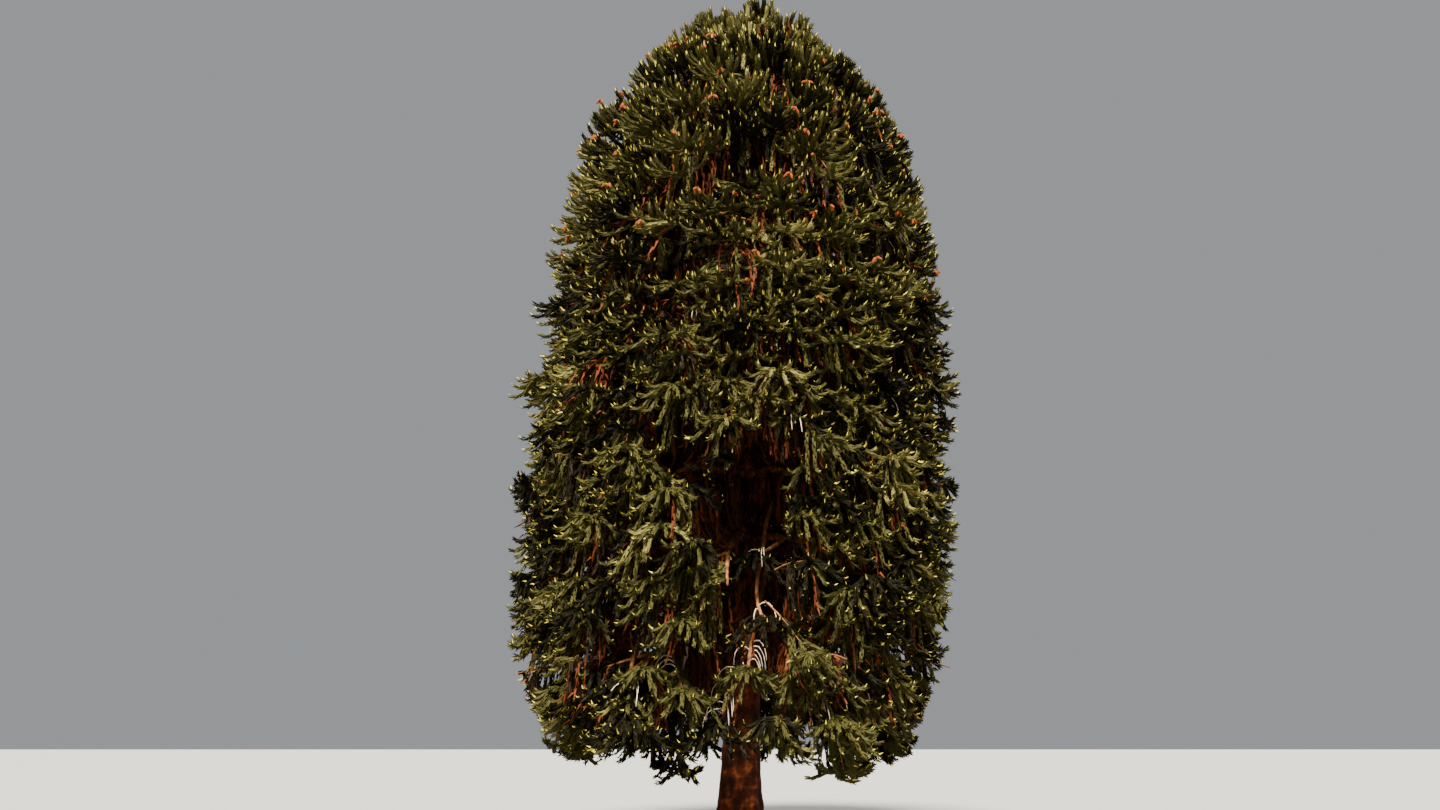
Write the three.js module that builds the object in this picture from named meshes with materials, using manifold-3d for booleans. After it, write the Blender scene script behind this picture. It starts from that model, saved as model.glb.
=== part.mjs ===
// A mature monkey puzzle tree (Chile pine), 15 m tall, with a broad domed crown that reaches almost
// to the ground. Millimetres, +Z up. The origin is the centre of the flat cut under the trunk at
// ground level, and the side that is usually looked at faces -Y.
//
// The crown is worked out in its own coordinates: a share q of the crown's radius at a height, an
// azimuth, and a tier. Each tier has limbs that arch out from the trunk, and the room between the
// tier's ceiling and the next one below is shared out as sectors, one for each mass of shoots.
import * as THREE from "three";
import { mergeVertices } from "three/addons/utils/BufferGeometryUtils.js";
import Module from "manifold-3d";

const wasm = await Module();
wasm.setup();

const GAP = 0.3; // clear room between two pieces that meet
const UP = new THREE.Vector3(0, 0, 1);
const DEGREE = Math.PI / 180;

// The crown's outline: a dome above its widest height and a skirt below it.
const CROWN_TOP_Z = 15000;
const CROWN_WIDEST_Z = 5000;
const CROWN_BASE_Z = 700;
const CROWN_RADIUS = 3930;
const DOME_POWER = 2.35;
const SKIRT_POWER = 3.2;
const LOWEST_TIP_Z = 930;
const LEAN = 450; // how far the top stands towards +X of the foot
const CROWN_OFFSET = -320; // where the crown's own centre line would meet the ground

const TRUNK_TOP_Z = 13900;
const TRUNK_RADIUS = 345; // the straight taper's radius at the ground
const TRUNK_TOP_RADIUS = 60;
const TRUNK_TAPER_POWER = 0.85;
const FLARE_RADIUS = 150; // what the root flare adds at the ground
const FLARE_HEIGHT = 420;
const FLARE_RIDGES = 7;
const FLARE_RIDGE_SHARE = 0.4;
const TRUNK_SIDES = 14;
const TRUNK_RINGS = 13;
const TRUNK_RING_CROWDING = 1.7; // above 1 the rings stand closer together near the ground

// Each tier, from the ground up. root and tip are the limb's heights at the trunk and at the crown's
// face, and rise is how far it would climb if it kept its first slope. first is the angle from the
// front to the middle of the tier's first mass, gap is the open angle just before that mass, and hang
// is the share of the shoots that hang down as a curtain.
const FRONT = -90;
const TIERS = [
  { name: "skirt", root: 3400, rise: 100, tip: 1750, masses: 6, first: 30, gap: 8, hang: 0.6, bough: true },
  { name: "low", root: 4900, rise: 300, tip: 3000, masses: 6, first: -2, gap: 0, hang: 0.5, bough: true },
  { name: "lower_middle", root: 6000, rise: 400, tip: 4750, masses: 7, first: 28, gap: 13, hang: 0.5 },
  { name: "middle", root: 7200, rise: 500, tip: 6400, masses: 7, first: 4, gap: 0, hang: 0.4 },
  { name: "upper_middle", root: 8300, rise: 600, tip: 8000, masses: 6, first: 27, gap: 0, hang: 0.35 },
  { name: "high", root: 9600, rise: 900, tip: 10000, masses: 5, first: 10, gap: 0, hang: 0.25 },
  { name: "shoulder", root: 10900, rise: 1200, tip: 11800, masses: 5, first: 36, gap: 0, hang: 0.1 },
  { name: "dome", root: 12200, rise: 1200, tip: 13300, masses: 3, first: 5, gap: 0, hang: 0 },
  { name: "top", root: 13900, rise: 900, tip: 14900, masses: 1, first: 0, gap: 0, hang: 0 },
];
const CEILING_SHARE = 0.36; // of the way from a tier's limbs up to those of the next tier
const CELL_MARGIN = 35; // clear room along the walls of a mass's space
const CENTRE_STEPS = 3; // each step brings q ten times closer

// Stems, and the twigs that leave them. A twig starts at a share of the stem and ends near the
// crown's face, at a share of the sector's half angle and of the height of the mass's space.
const SEED = 41;
const LEAST_REACH = 0.94; // of the crown's radius, for the mass that ends first
const STEM_REACH = 0.83;
const STEM_START = 0.02; // inside the trunk, which cuts it
const STEM_START_WITH_BOUGH = 0.42;
const STEM_OVERRUN = 0.03; // past the joint with the bough, where a plane trims both
const STEM_RINGS = 3;
const STEM_SIDES = 4;
const LIMB_RADIUS = 88; // at the trunk, where that is thick enough
const LIMB_TRUNK_SHARE = 0.55;
const STEM_TIP_RADIUS = 26;
const STEM_SWAY = 0.12;
const TWIG_RADIUS = 42;
const TWIG_TIP_RADIUS = 20;
const TWIG_ARCH = 0.06;
const TWIG_REACH = 0.79;
const TWIGS = [
  { at: 0.6, spread: -0.76, level: 0.62 },
  { at: 0.62, spread: 0.76, level: 0.62 },
  { at: 0.72, spread: -0.34, level: 0.8 },
  { at: 0.74, spread: 0.34, level: 0.8 },
  { at: 0.64, spread: -0.42, level: 0.3 },
  { at: 0.66, spread: 0.42, level: 0.3 },
];
const LIMB_LIFT = 170; // how far a limb's or a twig's end may stand above or below its place
const TWIG_LIFT_SHARE = 0.6;
const TWIG_SHOOTS = [0.8, 0.95];
const STEM_SHOOTS = [0.94];
const LEADER_TWIGS = 6;
const LEADER_TWIG_STARTS = [0.25, 0.42, 0.58]; // as shares of the leader, taken in turn
const LEADER_TIP_Z = 14450;
const LEADER_TWIG_REACH = 0.76;
const LEADER_TWIG_LEVEL = 0.5;
const LEADER_SHOOTS = [0.55, 0.75, 0.9, 0.95];
const LEADER_TOP_PLACE = 0.92;
const CROWN_SHOOT_LENGTH = 590;
const CROWN_SHOOT_SLOPES = [70, 62, 75];

// Leafy shoots, drawn as thick as the crown needs to look full. Each swells from a point inside its
// twig, and runs on to its tip. Slopes are in degrees.
const SHOOT_SEED = 7041;
const SHOOT_LENGTH = 1300;
const SHOOT_SHORTEST = 500;
const SHOOT_RADIUS = 105;
const SHOOT_SIDES = 3;
const SHOOT_SHARES = [0, 0.4, 0.78, 1]; // where the rings stand along a shoot
const SHOOT_WIDTHS = [0, 1, 0.75, 0]; // the radius at each ring, as a share
const SHOOT_STEPS = 20;
const SHOOT_TRIES = 20;
const SHOOT_FACES = 20; // a shoot that would add more faces than this cuts through others
const STEEPEST = 60; // what the top adds to the slopes of its shoots
const GOLDEN = 0.618;
const SMALLEST_EDGE = 0.1;

// The dense middle of a mass, as shares of the crown's radius, the sector and the tier's height.
const CORE_AROUND = 7;
const CORE_DOWN = 4;
const CORE_SQUARENESS = 0.62; // below 1 the sphere bulges towards a box
const CORE_SMALLEST = 0.86; // how far in a lump's hollow may lie
const CORE_INNER = 0.42;
const CORE_OUTER = 0.83;
const CORE_WIDTH = 0.9;
const CORE_FLOOR = 0.06;
const CORE_CEILING = 0.96;
const LEADER_CORE_DROP = 0.09;

const bark = new THREE.MeshStandardMaterial({ color: 0x5a2e1c, roughness: 0.95, metalness: 0 });
const limbBark = new THREE.MeshStandardMaterial({ color: 0x8a4a2a, roughness: 0.9, metalness: 0 });
const foliage = new THREE.MeshStandardMaterial({ color: 0x3d4420, roughness: 0.55, metalness: 0 });

// Random numbers from 0 to 1 that are the same on every run.
function seeded(seed) {
  let state = Math.imul(seed, 2654435761) >>> 0;
  return () => {
    state = (Math.imul(state, 1664525) + 1013904223) >>> 0;
    return state / 4294967296;
  };
}

const between = (random, low, high) => low + (high - low) * random();
const mix = (a, b, share) => a + (b - a) * share;
const leanAt = (z) => (LEAN * z) / CROWN_TOP_Z;

// The crown's radius at a height: a superellipse above and below its widest place.
function crownRadius(z) {
  const above = z > CROWN_WIDEST_Z;
  const span = above ? CROWN_TOP_Z - CROWN_WIDEST_Z : CROWN_WIDEST_Z - CROWN_BASE_Z;
  const power = above ? DOME_POWER : SKIRT_POWER;
  const share = Math.min(Math.abs(z - CROWN_WIDEST_Z) / span, 1);
  return CROWN_RADIUS * (1 - share ** power) ** (1 / power);
}

function trunkRadius(z) {
  const share = Math.max(1 - z / TRUNK_TOP_Z, 0);
  return TRUNK_TOP_RADIUS + (TRUNK_RADIUS - TRUNK_TOP_RADIUS) * share ** TRUNK_TAPER_POWER;
}

// The height of a tier's limbs at share q of the crown's radius.
function limbHeight(tier, q) {
  const { root, rise, tip } = TIERS[tier];
  return root + rise * q + (tip - root - rise) * q * q;
}

function ceiling(tier, q) {
  if (tier === TIERS.length - 1) return CROWN_TOP_Z;
  return mix(limbHeight(tier, q), limbHeight(tier + 1, q), CEILING_SHARE);
}

const floor = (tier, q) => (tier === 0 ? LOWEST_TIP_Z : ceiling(tier - 1, q));

// The middle of the crown at share q: the trunk's axis inside, and the crown's own line at its face.
function centreAt(q, z) {
  return mix(leanAt(z), mix(CROWN_OFFSET, LEAN, z / CROWN_TOP_Z), q);
}

// A point from the crown's own coordinates.
function crownPoint(q, azimuth, z) {
  const r = q * crownRadius(z);
  return new THREE.Vector3(centreAt(q, z) + r * Math.cos(azimuth), r * Math.sin(azimuth), z);
}

// True if a point lies in the space of a mass, with room to spare from its walls.
function inSpace(point, mass) {
  const fromTrunk = Math.hypot(point.x - leanAt(point.z), point.y);
  const byTrunk = point.z < TRUNK_TOP_Z + CELL_MARGIN;
  if (byTrunk && fromTrunk < trunkRadius(point.z) + CELL_MARGIN) return false;
  const full = Math.max(crownRadius(point.z), 1);
  let q = fromTrunk / full;
  for (let i = 0; i < CENTRE_STEPS; i++) {
    q = Math.hypot(point.x - centreAt(q, point.z), point.y) / full;
  }
  if (q > mass.reach) return false;
  const x = point.x - centreAt(q, point.z);
  const r = q * full;
  if (point.z < floor(mass.tier, q) + CELL_MARGIN) return false;
  if (point.z > ceiling(mass.tier, q) - CELL_MARGIN) return false;
  const away = Math.atan2(point.y, x) - mass.azimuth;
  const turned = Math.abs(Math.atan2(Math.sin(away), Math.cos(away)));
  return mass.half >= Math.PI || turned * r < mass.half * r - CELL_MARGIN;
}

// A round limb: a cylinder whose rings are carried along a path, each at its own radius. side is a
// direction across the path that keeps the rings from twisting. An end with radius 0 is a point.
function limbGeometry(path, radii, sides, side) {
  const last = path.length - 1;
  const geometry = new THREE.CylinderGeometry(1, 1, 1, sides, last);
  const { position } = geometry.attributes;
  const across = path.map((_, i) => {
    const along = path[Math.min(i + 1, last)].clone().sub(path[Math.max(i - 1, 0)]).normalize();
    const first = side.clone().addScaledVector(along, -side.dot(along)).normalize();
    return [first, first.clone().cross(along)];
  });
  for (let i = 0; i < position.count; i++) {
    const ring = Math.round((position.getY(i) + 0.5) * last);
    const point = path[ring]
      .clone()
      .addScaledVector(across[ring][0], position.getX(i) * radii[ring])
      .addScaledVector(across[ring][1], position.getZ(i) * radii[ring]);
    position.setXYZ(i, point.x, point.y, point.z);
  }
  return geometry;
}

// A closed geometry as a solid. Faces that lost a corner where a ring shrank to a point are left out.
function toSolid(geometry) {
  geometry.deleteAttribute("normal");
  geometry.deleteAttribute("uv");
  const welded = mergeVertices(geometry, 1e-3);
  const corners = welded.index.array;
  const faces = [];
  for (let i = 0; i < corners.length; i += 3) {
    const [a, b, c] = corners.slice(i, i + 3);
    if (a !== b && b !== c && c !== a) faces.push(a, b, c);
  }
  return new wasm.Manifold(
    new wasm.Mesh({
      numProp: 3,
      vertProperties: new Float32Array(welded.attributes.position.array),
      triVerts: new Uint32Array(faces),
    }),
  );
}

// The largest single body of a solid: loose scraps go, and a sealed hollow is filled.
function oneBody(solid) {
  const bodies = solid.decompose();
  return bodies.reduce((best, body) => (body.volume() > best.volume() ? body : best));
}

function toMesh(name, solid, material) {
  const made = solid.getMesh();
  const geometry = new THREE.BufferGeometry();
  geometry.setAttribute("position", new THREE.BufferAttribute(made.vertProperties, 3));
  geometry.setIndex(new THREE.BufferAttribute(made.triVerts, 1));
  geometry.computeVertexNormals();
  const mesh = new THREE.Mesh(geometry, material);
  mesh.name = name;
  return mesh;
}

// The trunk with its taper, lean and ridged root flare, grown by extra all round. The rings stand
// closer together near the ground.
function trunkSolid(extra) {
  const geometry = new THREE.CylinderGeometry(1, 1, 1, TRUNK_SIDES, TRUNK_RINGS);
  const { position } = geometry.attributes;
  for (let i = 0; i < position.count; i++) {
    const share = position.getY(i) + 0.5;
    const z = TRUNK_TOP_Z * share ** TRUNK_RING_CROWDING;
    const angle = Math.atan2(-position.getZ(i), position.getX(i));
    const ridge = 1 + FLARE_RIDGE_SHARE * Math.cos(FLARE_RIDGES * angle);
    const flare = FLARE_RADIUS * Math.exp(-z / FLARE_HEIGHT) * ridge;
    const onAxis = Math.hypot(position.getX(i), position.getZ(i)) < 1e-6;
    const r = onAxis ? 0 : trunkRadius(z) + flare + extra;
    position.setXYZ(i, leanAt(z) + r * Math.cos(angle), r * Math.sin(angle), z);
  }
  return toSolid(geometry);
}

// Every mass with the space it keeps to: its tier, sector and reach, and its seeded stem and twigs.
function layOut() {
  return TIERS.flatMap((tier, index) => {
    const sector = (360 - tier.gap) / tier.masses;
    return Array.from({ length: tier.masses }, (_, i) => {
      const random = seeded(SEED + 100 * index + i);
      const mass = {
        name: tier.masses > 1 ? `${tier.name}_mass_${i + 1}` : `${tier.name}_mass`,
        boughName: tier.bough ? `${tier.name}_bough_${i + 1}` : null,
        tier: index,
        azimuth: (FRONT + tier.first + sector * i) * DEGREE,
        half: tier.masses > 1 ? (sector / 2) * DEGREE : Math.PI,
        reach: between(random, LEAST_REACH, 1),
        sway: between(random, -STEM_SWAY, STEM_SWAY),
        lift: between(random, -LIMB_LIFT, LIMB_LIFT),
        grown: 0,
      };
      mass.twigLifts = TWIGS.map(() => between(random, -LIMB_LIFT, LIMB_LIFT));
      return mass;
    });
  });
}

// A point of a mass's own limb, from the trunk's axis at t = 0 to the limb's tip at t = 1.
function stemPoint(mass, t) {
  const q = t * STEM_REACH;
  const azimuth = mass.azimuth + mass.sway * mass.half * Math.sin(Math.PI * t);
  return crownPoint(q, azimuth, limbHeight(mass.tier, q) + mass.lift * t * t);
}

// A twig arches from the stem to its place on the crown's face.
function twigCurve(mass, twig, lift) {
  const start = stemPoint(mass, twig.at);
  const azimuth = mass.azimuth + twig.spread * mass.half;
  const endZ = mix(floor(mass.tier, TWIG_REACH), ceiling(mass.tier, TWIG_REACH), twig.level);
  const end = crownPoint(TWIG_REACH, azimuth, endZ + lift * TWIG_LIFT_SHARE);
  const middle = start.clone().lerp(end, 0.5);
  middle.addScaledVector(UP, TWIG_ARCH * start.distanceTo(end));
  return new THREE.QuadraticBezierCurve3(start, middle, end);
}

// The leader's twigs leave it all round and rise to the dome's face.
function leaderTwigCurve(index) {
  const azimuth = ((index + 0.5) * 2 * Math.PI) / LEADER_TWIGS;
  const startZ = mix(TRUNK_TOP_Z, LEADER_TIP_Z, LEADER_TWIG_STARTS[index % LEADER_TWIG_STARTS.length]);
  const start = new THREE.Vector3(leanAt(startZ), 0, startZ);
  const top = TIERS.length - 1;
  const endZ = mix(floor(top, LEADER_TWIG_REACH), ceiling(top), LEADER_TWIG_LEVEL);
  const end = crownPoint(LEADER_TWIG_REACH, azimuth, endZ);
  const middle = start.clone().lerp(end, 0.5);
  middle.addScaledVector(UP, TWIG_ARCH * start.distanceTo(end));
  return new THREE.QuadraticBezierCurve3(start, middle, end);
}

const samples = (count, from, to, at) =>
  Array.from({ length: count + 1 }, (_, i) => at(mix(from, to, i / count)));

// A direction across a path, level and square to the way it runs in plan.
function acrossOf(path) {
  const run = path[path.length - 1].clone().sub(path[0]);
  if (Math.hypot(run.x, run.y) < 1) return new THREE.Vector3(1, 0, 0);
  return new THREE.Vector3(-run.y, run.x, 0).normalize();
}

// One bare limb between two shares of its length, tapering evenly from the trunk to its tip.
function limbSolid(mass, from, to) {
  const path = samples(STEM_RINGS, from, to, (t) => stemPoint(mass, t));
  const rootRadius = Math.min(LIMB_RADIUS, LIMB_TRUNK_SHARE * trunkRadius(TIERS[mass.tier].root));
  const radii = samples(STEM_RINGS, from, to, (t) => mix(rootRadius, STEM_TIP_RADIUS, t));
  return toSolid(limbGeometry(path, radii, STEM_SIDES, acrossOf(path)));
}

// The plane across a limb where its bough ends and the mass's stem begins.
function jointPlane(mass) {
  const [before, at, after] = [-STEM_OVERRUN, 0, STEM_OVERRUN].map((step) => {
    return stemPoint(mass, STEM_START_WITH_BOUGH + step);
  });
  const along = after.sub(before).normalize();
  return { along, offset: at.dot(along) };
}

// The limb inside a mass: all of it, or what lies a gap's width past its bough.
function stemSolid(mass) {
  if (!mass.boughName) return limbSolid(mass, STEM_START, 1);
  const { along, offset } = jointPlane(mass);
  const stem = limbSolid(mass, STEM_START_WITH_BOUGH - STEM_OVERRUN, 1);
  return stem.trimByPlane(along.toArray(), offset + GAP);
}

function boughSolid(mass, trunkRoom) {
  const { along, offset } = jointPlane(mass);
  const bough = limbSolid(mass, STEM_START, STEM_START_WITH_BOUGH + STEM_OVERRUN);
  return oneBody(bough.trimByPlane(along.negate().toArray(), -offset).subtract(trunkRoom));
}

function twigSolid(curve) {
  const path = curve.getPoints(2);
  const radii = [TWIG_RADIUS, mix(TWIG_RADIUS, TWIG_TIP_RADIUS, 0.5), TWIG_TIP_RADIUS];
  return toSolid(limbGeometry(path, radii, 3, acrossOf(path)));
}

// The path of a shoot. It leaves at its first slope, sags to its second by half way, and turns up to
// its third at the tip. slopes are in degrees above level.
function shootPath(start, heading, length, slopes) {
  const points = [start.clone()];
  const step = length / SHOOT_STEPS;
  for (let i = 0; i < SHOOT_STEPS; i++) {
    const t = (i + 0.5) / SHOOT_STEPS;
    const half = t < 0.5 ? t * 2 : t * 2 - 1;
    const eased = half * half * (3 - 2 * half);
    const slope = DEGREE * (t < 0.5 ? mix(slopes[0], slopes[1], eased) : mix(slopes[1], slopes[2], eased));
    const flat = Math.cos(slope) * step;
    const last = points[i];
    points.push(
      new THREE.Vector3(
        last.x + flat * Math.cos(heading),
        last.y + flat * Math.sin(heading),
        last.z + Math.sin(slope) * step,
      ),
    );
  }
  return points;
}

// A shoot's solid, or null if it would leave the mass's space.
function shootSolid(mass, start, heading, length, slopes) {
  const path = shootPath(start, heading, length, slopes);
  const rings = SHOOT_SHARES.map((share) => path[Math.round(share * SHOOT_STEPS)]);
  const radii = SHOOT_WIDTHS.map((share) => share * SHOOT_RADIUS);
  const side = new THREE.Vector3(-Math.sin(heading), Math.cos(heading), 0);
  const geometry = limbGeometry(rings, radii, SHOOT_SIDES, side);
  const { position } = geometry.attributes;
  const corner = new THREE.Vector3();
  for (let i = 0; i < position.count; i++) {
    corner.fromBufferAttribute(position, i);
    if (!inSpace(corner, mass)) return null;
  }
  return toSolid(geometry);
}

// The slopes of one shoot. A hanging one goes down as a curtain, and the others spread and turn up,
// the more so the higher they are in the crown.
function shootSlopes(random, mass, hanging) {
  if (hanging) return [between(random, -30, 0), between(random, -85, -65), between(random, -70, -20)];
  const up = STEEPEST * (mass.tier / (TIERS.length - 1)) ** 2;
  return [between(random, -5, 25) + up, between(random, -30, 0) + up, between(random, 30, 65) + up / 4];
}

// Grows shoots along one stem or twig and returns the body with them fused on. Places are shares of
// its length, taken on alternate sides. Each shoot is tried with new random numbers, and shorter,
// until it keeps to the mass's space and joins the body cleanly.
function growShoots(body, mass, at, places, random) {
  let grown = body;
  places.forEach((place, i) => {
    const start = at(place);
    const before = at(Math.max(place - 0.15, 0));
    const run = Math.atan2(start.y - before.y, start.x - before.x);
    const side = i % 2 === 0 ? 1 : -1;
    const hanging = (mass.grown * GOLDEN) % 1 < TIERS[mass.tier].hang;
    mass.grown++;
    for (let tried = 0; tried < SHOOT_TRIES; tried++) {
      const turn = side * between(random, mix(50, 5, place), mix(95, 50, place)) * DEGREE;
      const slopes = shootSlopes(random, mass, hanging);
      const length = mix(SHOOT_LENGTH, SHOOT_SHORTEST, tried / (SHOOT_TRIES - 1));
      const shoot = shootSolid(mass, start, run + turn, length, slopes);
      if (!shoot) continue;
      const joined = grown.add(shoot);
      if (joined.numTri() - grown.numTri() > SHOOT_FACES) continue;
      grown = joined;
      break;
    }
  });
  return grown;
}

// The dense middle of a mass: a lumpy, boxy sphere laid out in the crown's own coordinates.
function coreSolid(mass, random) {
  return lumpSolid(random, (x, y, z) => {
    const q = mix(CORE_INNER, CORE_OUTER, (x + 1) / 2);
    return crownPoint(q, mass.azimuth + y * CORE_WIDTH * mass.half, coreHeight(mass.tier, q, z));
  });
}

// The leader's dense middle is the dome round it, open under the trunk's tip.
function leaderCoreSolid(mass, random) {
  return lumpSolid(random, (x, y, z) => {
    const q = CORE_OUTER * Math.min(Math.hypot(x, y), 1);
    return crownPoint(q, Math.atan2(y, x), coreHeight(mass.tier, q, z - LEADER_CORE_DROP * (1 + z)));
  });
}

function coreHeight(tier, q, z) {
  const level = mix(CORE_FLOOR, CORE_CEILING, (z + 1) / 2);
  return mix(floor(tier, q), ceiling(tier, q), level);
}

// A unit sphere with seeded hollows, alike where vertices share a place, squared off and carried to
// its place by at.
function lumpSolid(random, at) {
  const geometry = new THREE.SphereGeometry(1, CORE_AROUND, CORE_DOWN);
  geometry.deleteAttribute("normal");
  geometry.deleteAttribute("uv");
  const welded = mergeVertices(geometry, 1e-4);
  const { position } = welded.attributes;
  for (let i = 0; i < position.count; i++) {
    const keep = between(random, CORE_SMALLEST, 1);
    const square = (x) => keep * Math.sign(x) * Math.abs(x) ** CORE_SQUARENESS;
    const point = at(square(position.getX(i)), square(-position.getZ(i)), square(position.getY(i)));
    position.setXYZ(i, point.x, point.y, point.z);
  }
  return toSolid(welded);
}

function massSolid(mass, trunkRoom) {
  const random = seeded(SHOOT_SEED + 100 * mass.tier + Math.round(mass.azimuth * 10));
  if (mass.half === Math.PI) return leaderMassSolid(mass, random, trunkRoom);
  const curves = TWIGS.map((twig, i) => twigCurve(mass, twig, mass.twigLifts[i]));
  let body = wasm.Manifold.union([stemSolid(mass), coreSolid(mass, random), ...curves.map(twigSolid)]);
  body = growShoots(body, mass, (t) => stemPoint(mass, t), STEM_SHOOTS, random);
  curves.forEach((curve) => {
    body = growShoots(body, mass, (t) => curve.getPoint(t), TWIG_SHOOTS, random);
  });
  return oneBody(body.simplify(SMALLEST_EDGE).subtract(trunkRoom));
}

function leaderMassSolid(mass, random, trunkRoom) {
  const footZ = TRUNK_TOP_Z + GAP;
  const leader = [footZ, mix(footZ, LEADER_TIP_Z, 0.5), LEADER_TIP_Z].map(
    (z) => new THREE.Vector3(leanAt(z), 0, z),
  );
  const radii = [TRUNK_TOP_RADIUS, TRUNK_TOP_RADIUS * 0.7, STEM_TIP_RADIUS];
  const topPlace = leader[0].clone().lerp(leader[2], LEADER_TOP_PLACE);
  const curves = Array.from({ length: LEADER_TWIGS }, (_, i) => leaderTwigCurve(i));
  let body = wasm.Manifold.union([
    toSolid(limbGeometry(leader, radii, 6, new THREE.Vector3(1, 0, 0))),
    leaderCoreSolid(mass, random),
    ...curves.map(twigSolid),
  ]);
  curves.forEach((curve, i) => {
    body = growShoots(body, mass, (t) => curve.getPoint(t), LEADER_SHOOTS, random);
    const heading = (i * 2 * Math.PI) / LEADER_TWIGS;
    const shoot = shootSolid(mass, topPlace, heading, CROWN_SHOOT_LENGTH, CROWN_SHOOT_SLOPES);
    if (shoot) body = body.add(shoot);
  });
  return oneBody(body.simplify(SMALLEST_EDGE).subtract(trunkRoom));
}

const tree = new THREE.Group();
tree.add(toMesh("trunk", trunkSolid(0), bark));
const trunkRoom = trunkSolid(GAP);
for (const mass of layOut()) {
  if (mass.boughName) tree.add(toMesh(mass.boughName, boughSolid(mass, trunkRoom), limbBark));
  tree.add(toMesh(mass.name, massSolid(mass, trunkRoom), foliage));
}

export default tree;
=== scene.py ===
"""A mature monkey puzzle tree, 15 m tall, with a domed crown that reaches almost to the ground.

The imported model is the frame. Its trunk, boughs and masses of shoots are replaced here by a trunk and
limbs with the bark's relief, twigs, leafy shoots, dead shoots, bleached twigs and pollen cones. They
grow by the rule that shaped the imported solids, carried on to finer twigs. Everything is in metres, +Z
up, and the side that is usually looked at faces -Y.
"""

import math

import bpy
import numpy as np
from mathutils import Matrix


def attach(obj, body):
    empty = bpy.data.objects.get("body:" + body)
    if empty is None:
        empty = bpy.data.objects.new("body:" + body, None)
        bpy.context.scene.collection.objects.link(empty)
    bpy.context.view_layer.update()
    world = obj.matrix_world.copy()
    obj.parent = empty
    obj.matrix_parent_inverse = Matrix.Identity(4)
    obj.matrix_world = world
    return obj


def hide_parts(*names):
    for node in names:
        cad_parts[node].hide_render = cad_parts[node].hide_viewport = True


bl_info = {
    "name": "Monkey puzzle tree",
    "version": (1, 0, 0),
    "blender": (4, 5, 0),
    "location": "3D View > Sidebar > Tree",
    "description": "Grows a mature monkey puzzle tree with its bark, limbs, leafy shoots and cones",
    "category": "Add Mesh",
}

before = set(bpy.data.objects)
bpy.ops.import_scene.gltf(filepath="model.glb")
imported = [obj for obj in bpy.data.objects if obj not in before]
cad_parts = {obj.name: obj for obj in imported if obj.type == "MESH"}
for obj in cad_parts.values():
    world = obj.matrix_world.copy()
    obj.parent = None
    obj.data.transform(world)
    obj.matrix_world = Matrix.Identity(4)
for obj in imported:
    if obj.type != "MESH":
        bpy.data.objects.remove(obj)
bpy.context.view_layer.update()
BODY = "root"

# The crown's outline: a dome above its widest height and a skirt below it. Its centre line stands aside
# from the trunk at the ground and meets it at the top, where the trunk has leant over by LEAN.
CROWN_TOP = 15.0
CROWN_WIDEST = 5.0
CROWN_BASE = 0.7
CROWN_RADIUS = 3.93
DOME_POWER = 2.35
SKIRT_POWER = 3.2
LOWEST_TIP = 0.93
LEAN = 0.45
CROWN_OFFSET = -0.32
CENTRE_STEPS = 3  # steps that find where in the crown a point is

TRUNK_TOP = 13.9
TRUNK_RADIUS = 0.345
TRUNK_TOP_RADIUS = 0.06
TRUNK_TAPER_POWER = 0.85
FLARE_RADIUS = 0.15
FLARE_HEIGHT = 0.42
FLARE_RIDGES = 7
FLARE_RIDGE_SHARE = 0.4

# Each tier, from the ground up: its limbs' heights at the trunk and at the crown's face, how far they
# would climb at their first slope, its masses, the angle from the front to the first one, the open
# angle before it, and the share of each twig's shoots that hang down as a curtain.
FRONT = -90
TIER_FIELDS = ("name", "root", "rise", "tip", "masses", "first", "gap", "hang")
TIERS = [dict(zip(TIER_FIELDS, row)) for row in (
    ("skirt", 3.4, 0.1, 1.75, 6, 30, 8, 0.6),
    ("low", 4.9, 0.3, 3.0, 6, -2, 0, 0.5),
    ("lower_middle", 6.0, 0.4, 4.75, 7, 28, 13, 0.5),
    ("middle", 7.2, 0.5, 6.4, 7, 4, 0, 0.4),
    ("upper_middle", 8.3, 0.6, 8.0, 6, 27, 0, 0.35),
    ("high", 9.6, 0.9, 10.0, 5, 10, 0, 0.25),
    ("shoulder", 10.9, 1.2, 11.8, 5, 36, 0, 0.1),
    ("dome", 12.2, 1.2, 13.3, 3, 5, 0, 0),
    ("top", 13.9, 0.9, 14.9, 1, 0, 0, 0),
)]
TOP_TIER = len(TIERS) - 1
BOUGH_TIERS = ("skirt", "low")
ROOTS, RISES, TIPS, HANGS = (np.array([tier[field] for tier in TIERS])
                             for field in ("root", "rise", "tip", "hang"))
CEILING_SHARE = 0.36  # how far above its own limbs a tier goes on, as a share of the way to the next one's

# Limbs and twigs as the solids have them, from the same seed.
SEED = 41
LEAST_REACH = 0.94
STEM_REACH = 0.83
BOUGH_END = 0.42  # where a bough ends and the stem of its mass begins, as a share of the limb
BOUGH_OVERLAP = 0.01
LIMB_RADIUS = 0.088
LIMB_TRUNK_SHARE = 0.55
STEM_TIP_RADIUS = 0.018
STEM_START = 0.02
STEM_SWAY = 0.12
LIMB_LIFT = 0.17
TWIG_RADII = (0.034, 0.013)
TWIG_ARCH = 0.06
TWIG_REACH = 0.79
TWIG_LIFT_SHARE = 0.6
TWIGS = [(0.6, -0.76, 0.62), (0.62, 0.76, 0.62), (0.72, -0.34, 0.8), (0.74, 0.34, 0.8), (0.64, -0.42, 0.3),
         (0.66, 0.42, 0.3)]
LEADER_TWIGS = 6
LEADER_TWIG_STARTS = (0.25, 0.42, 0.58)
LEADER_TIP = 14.45
LEADER_TWIG_REACH = 0.76
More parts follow.
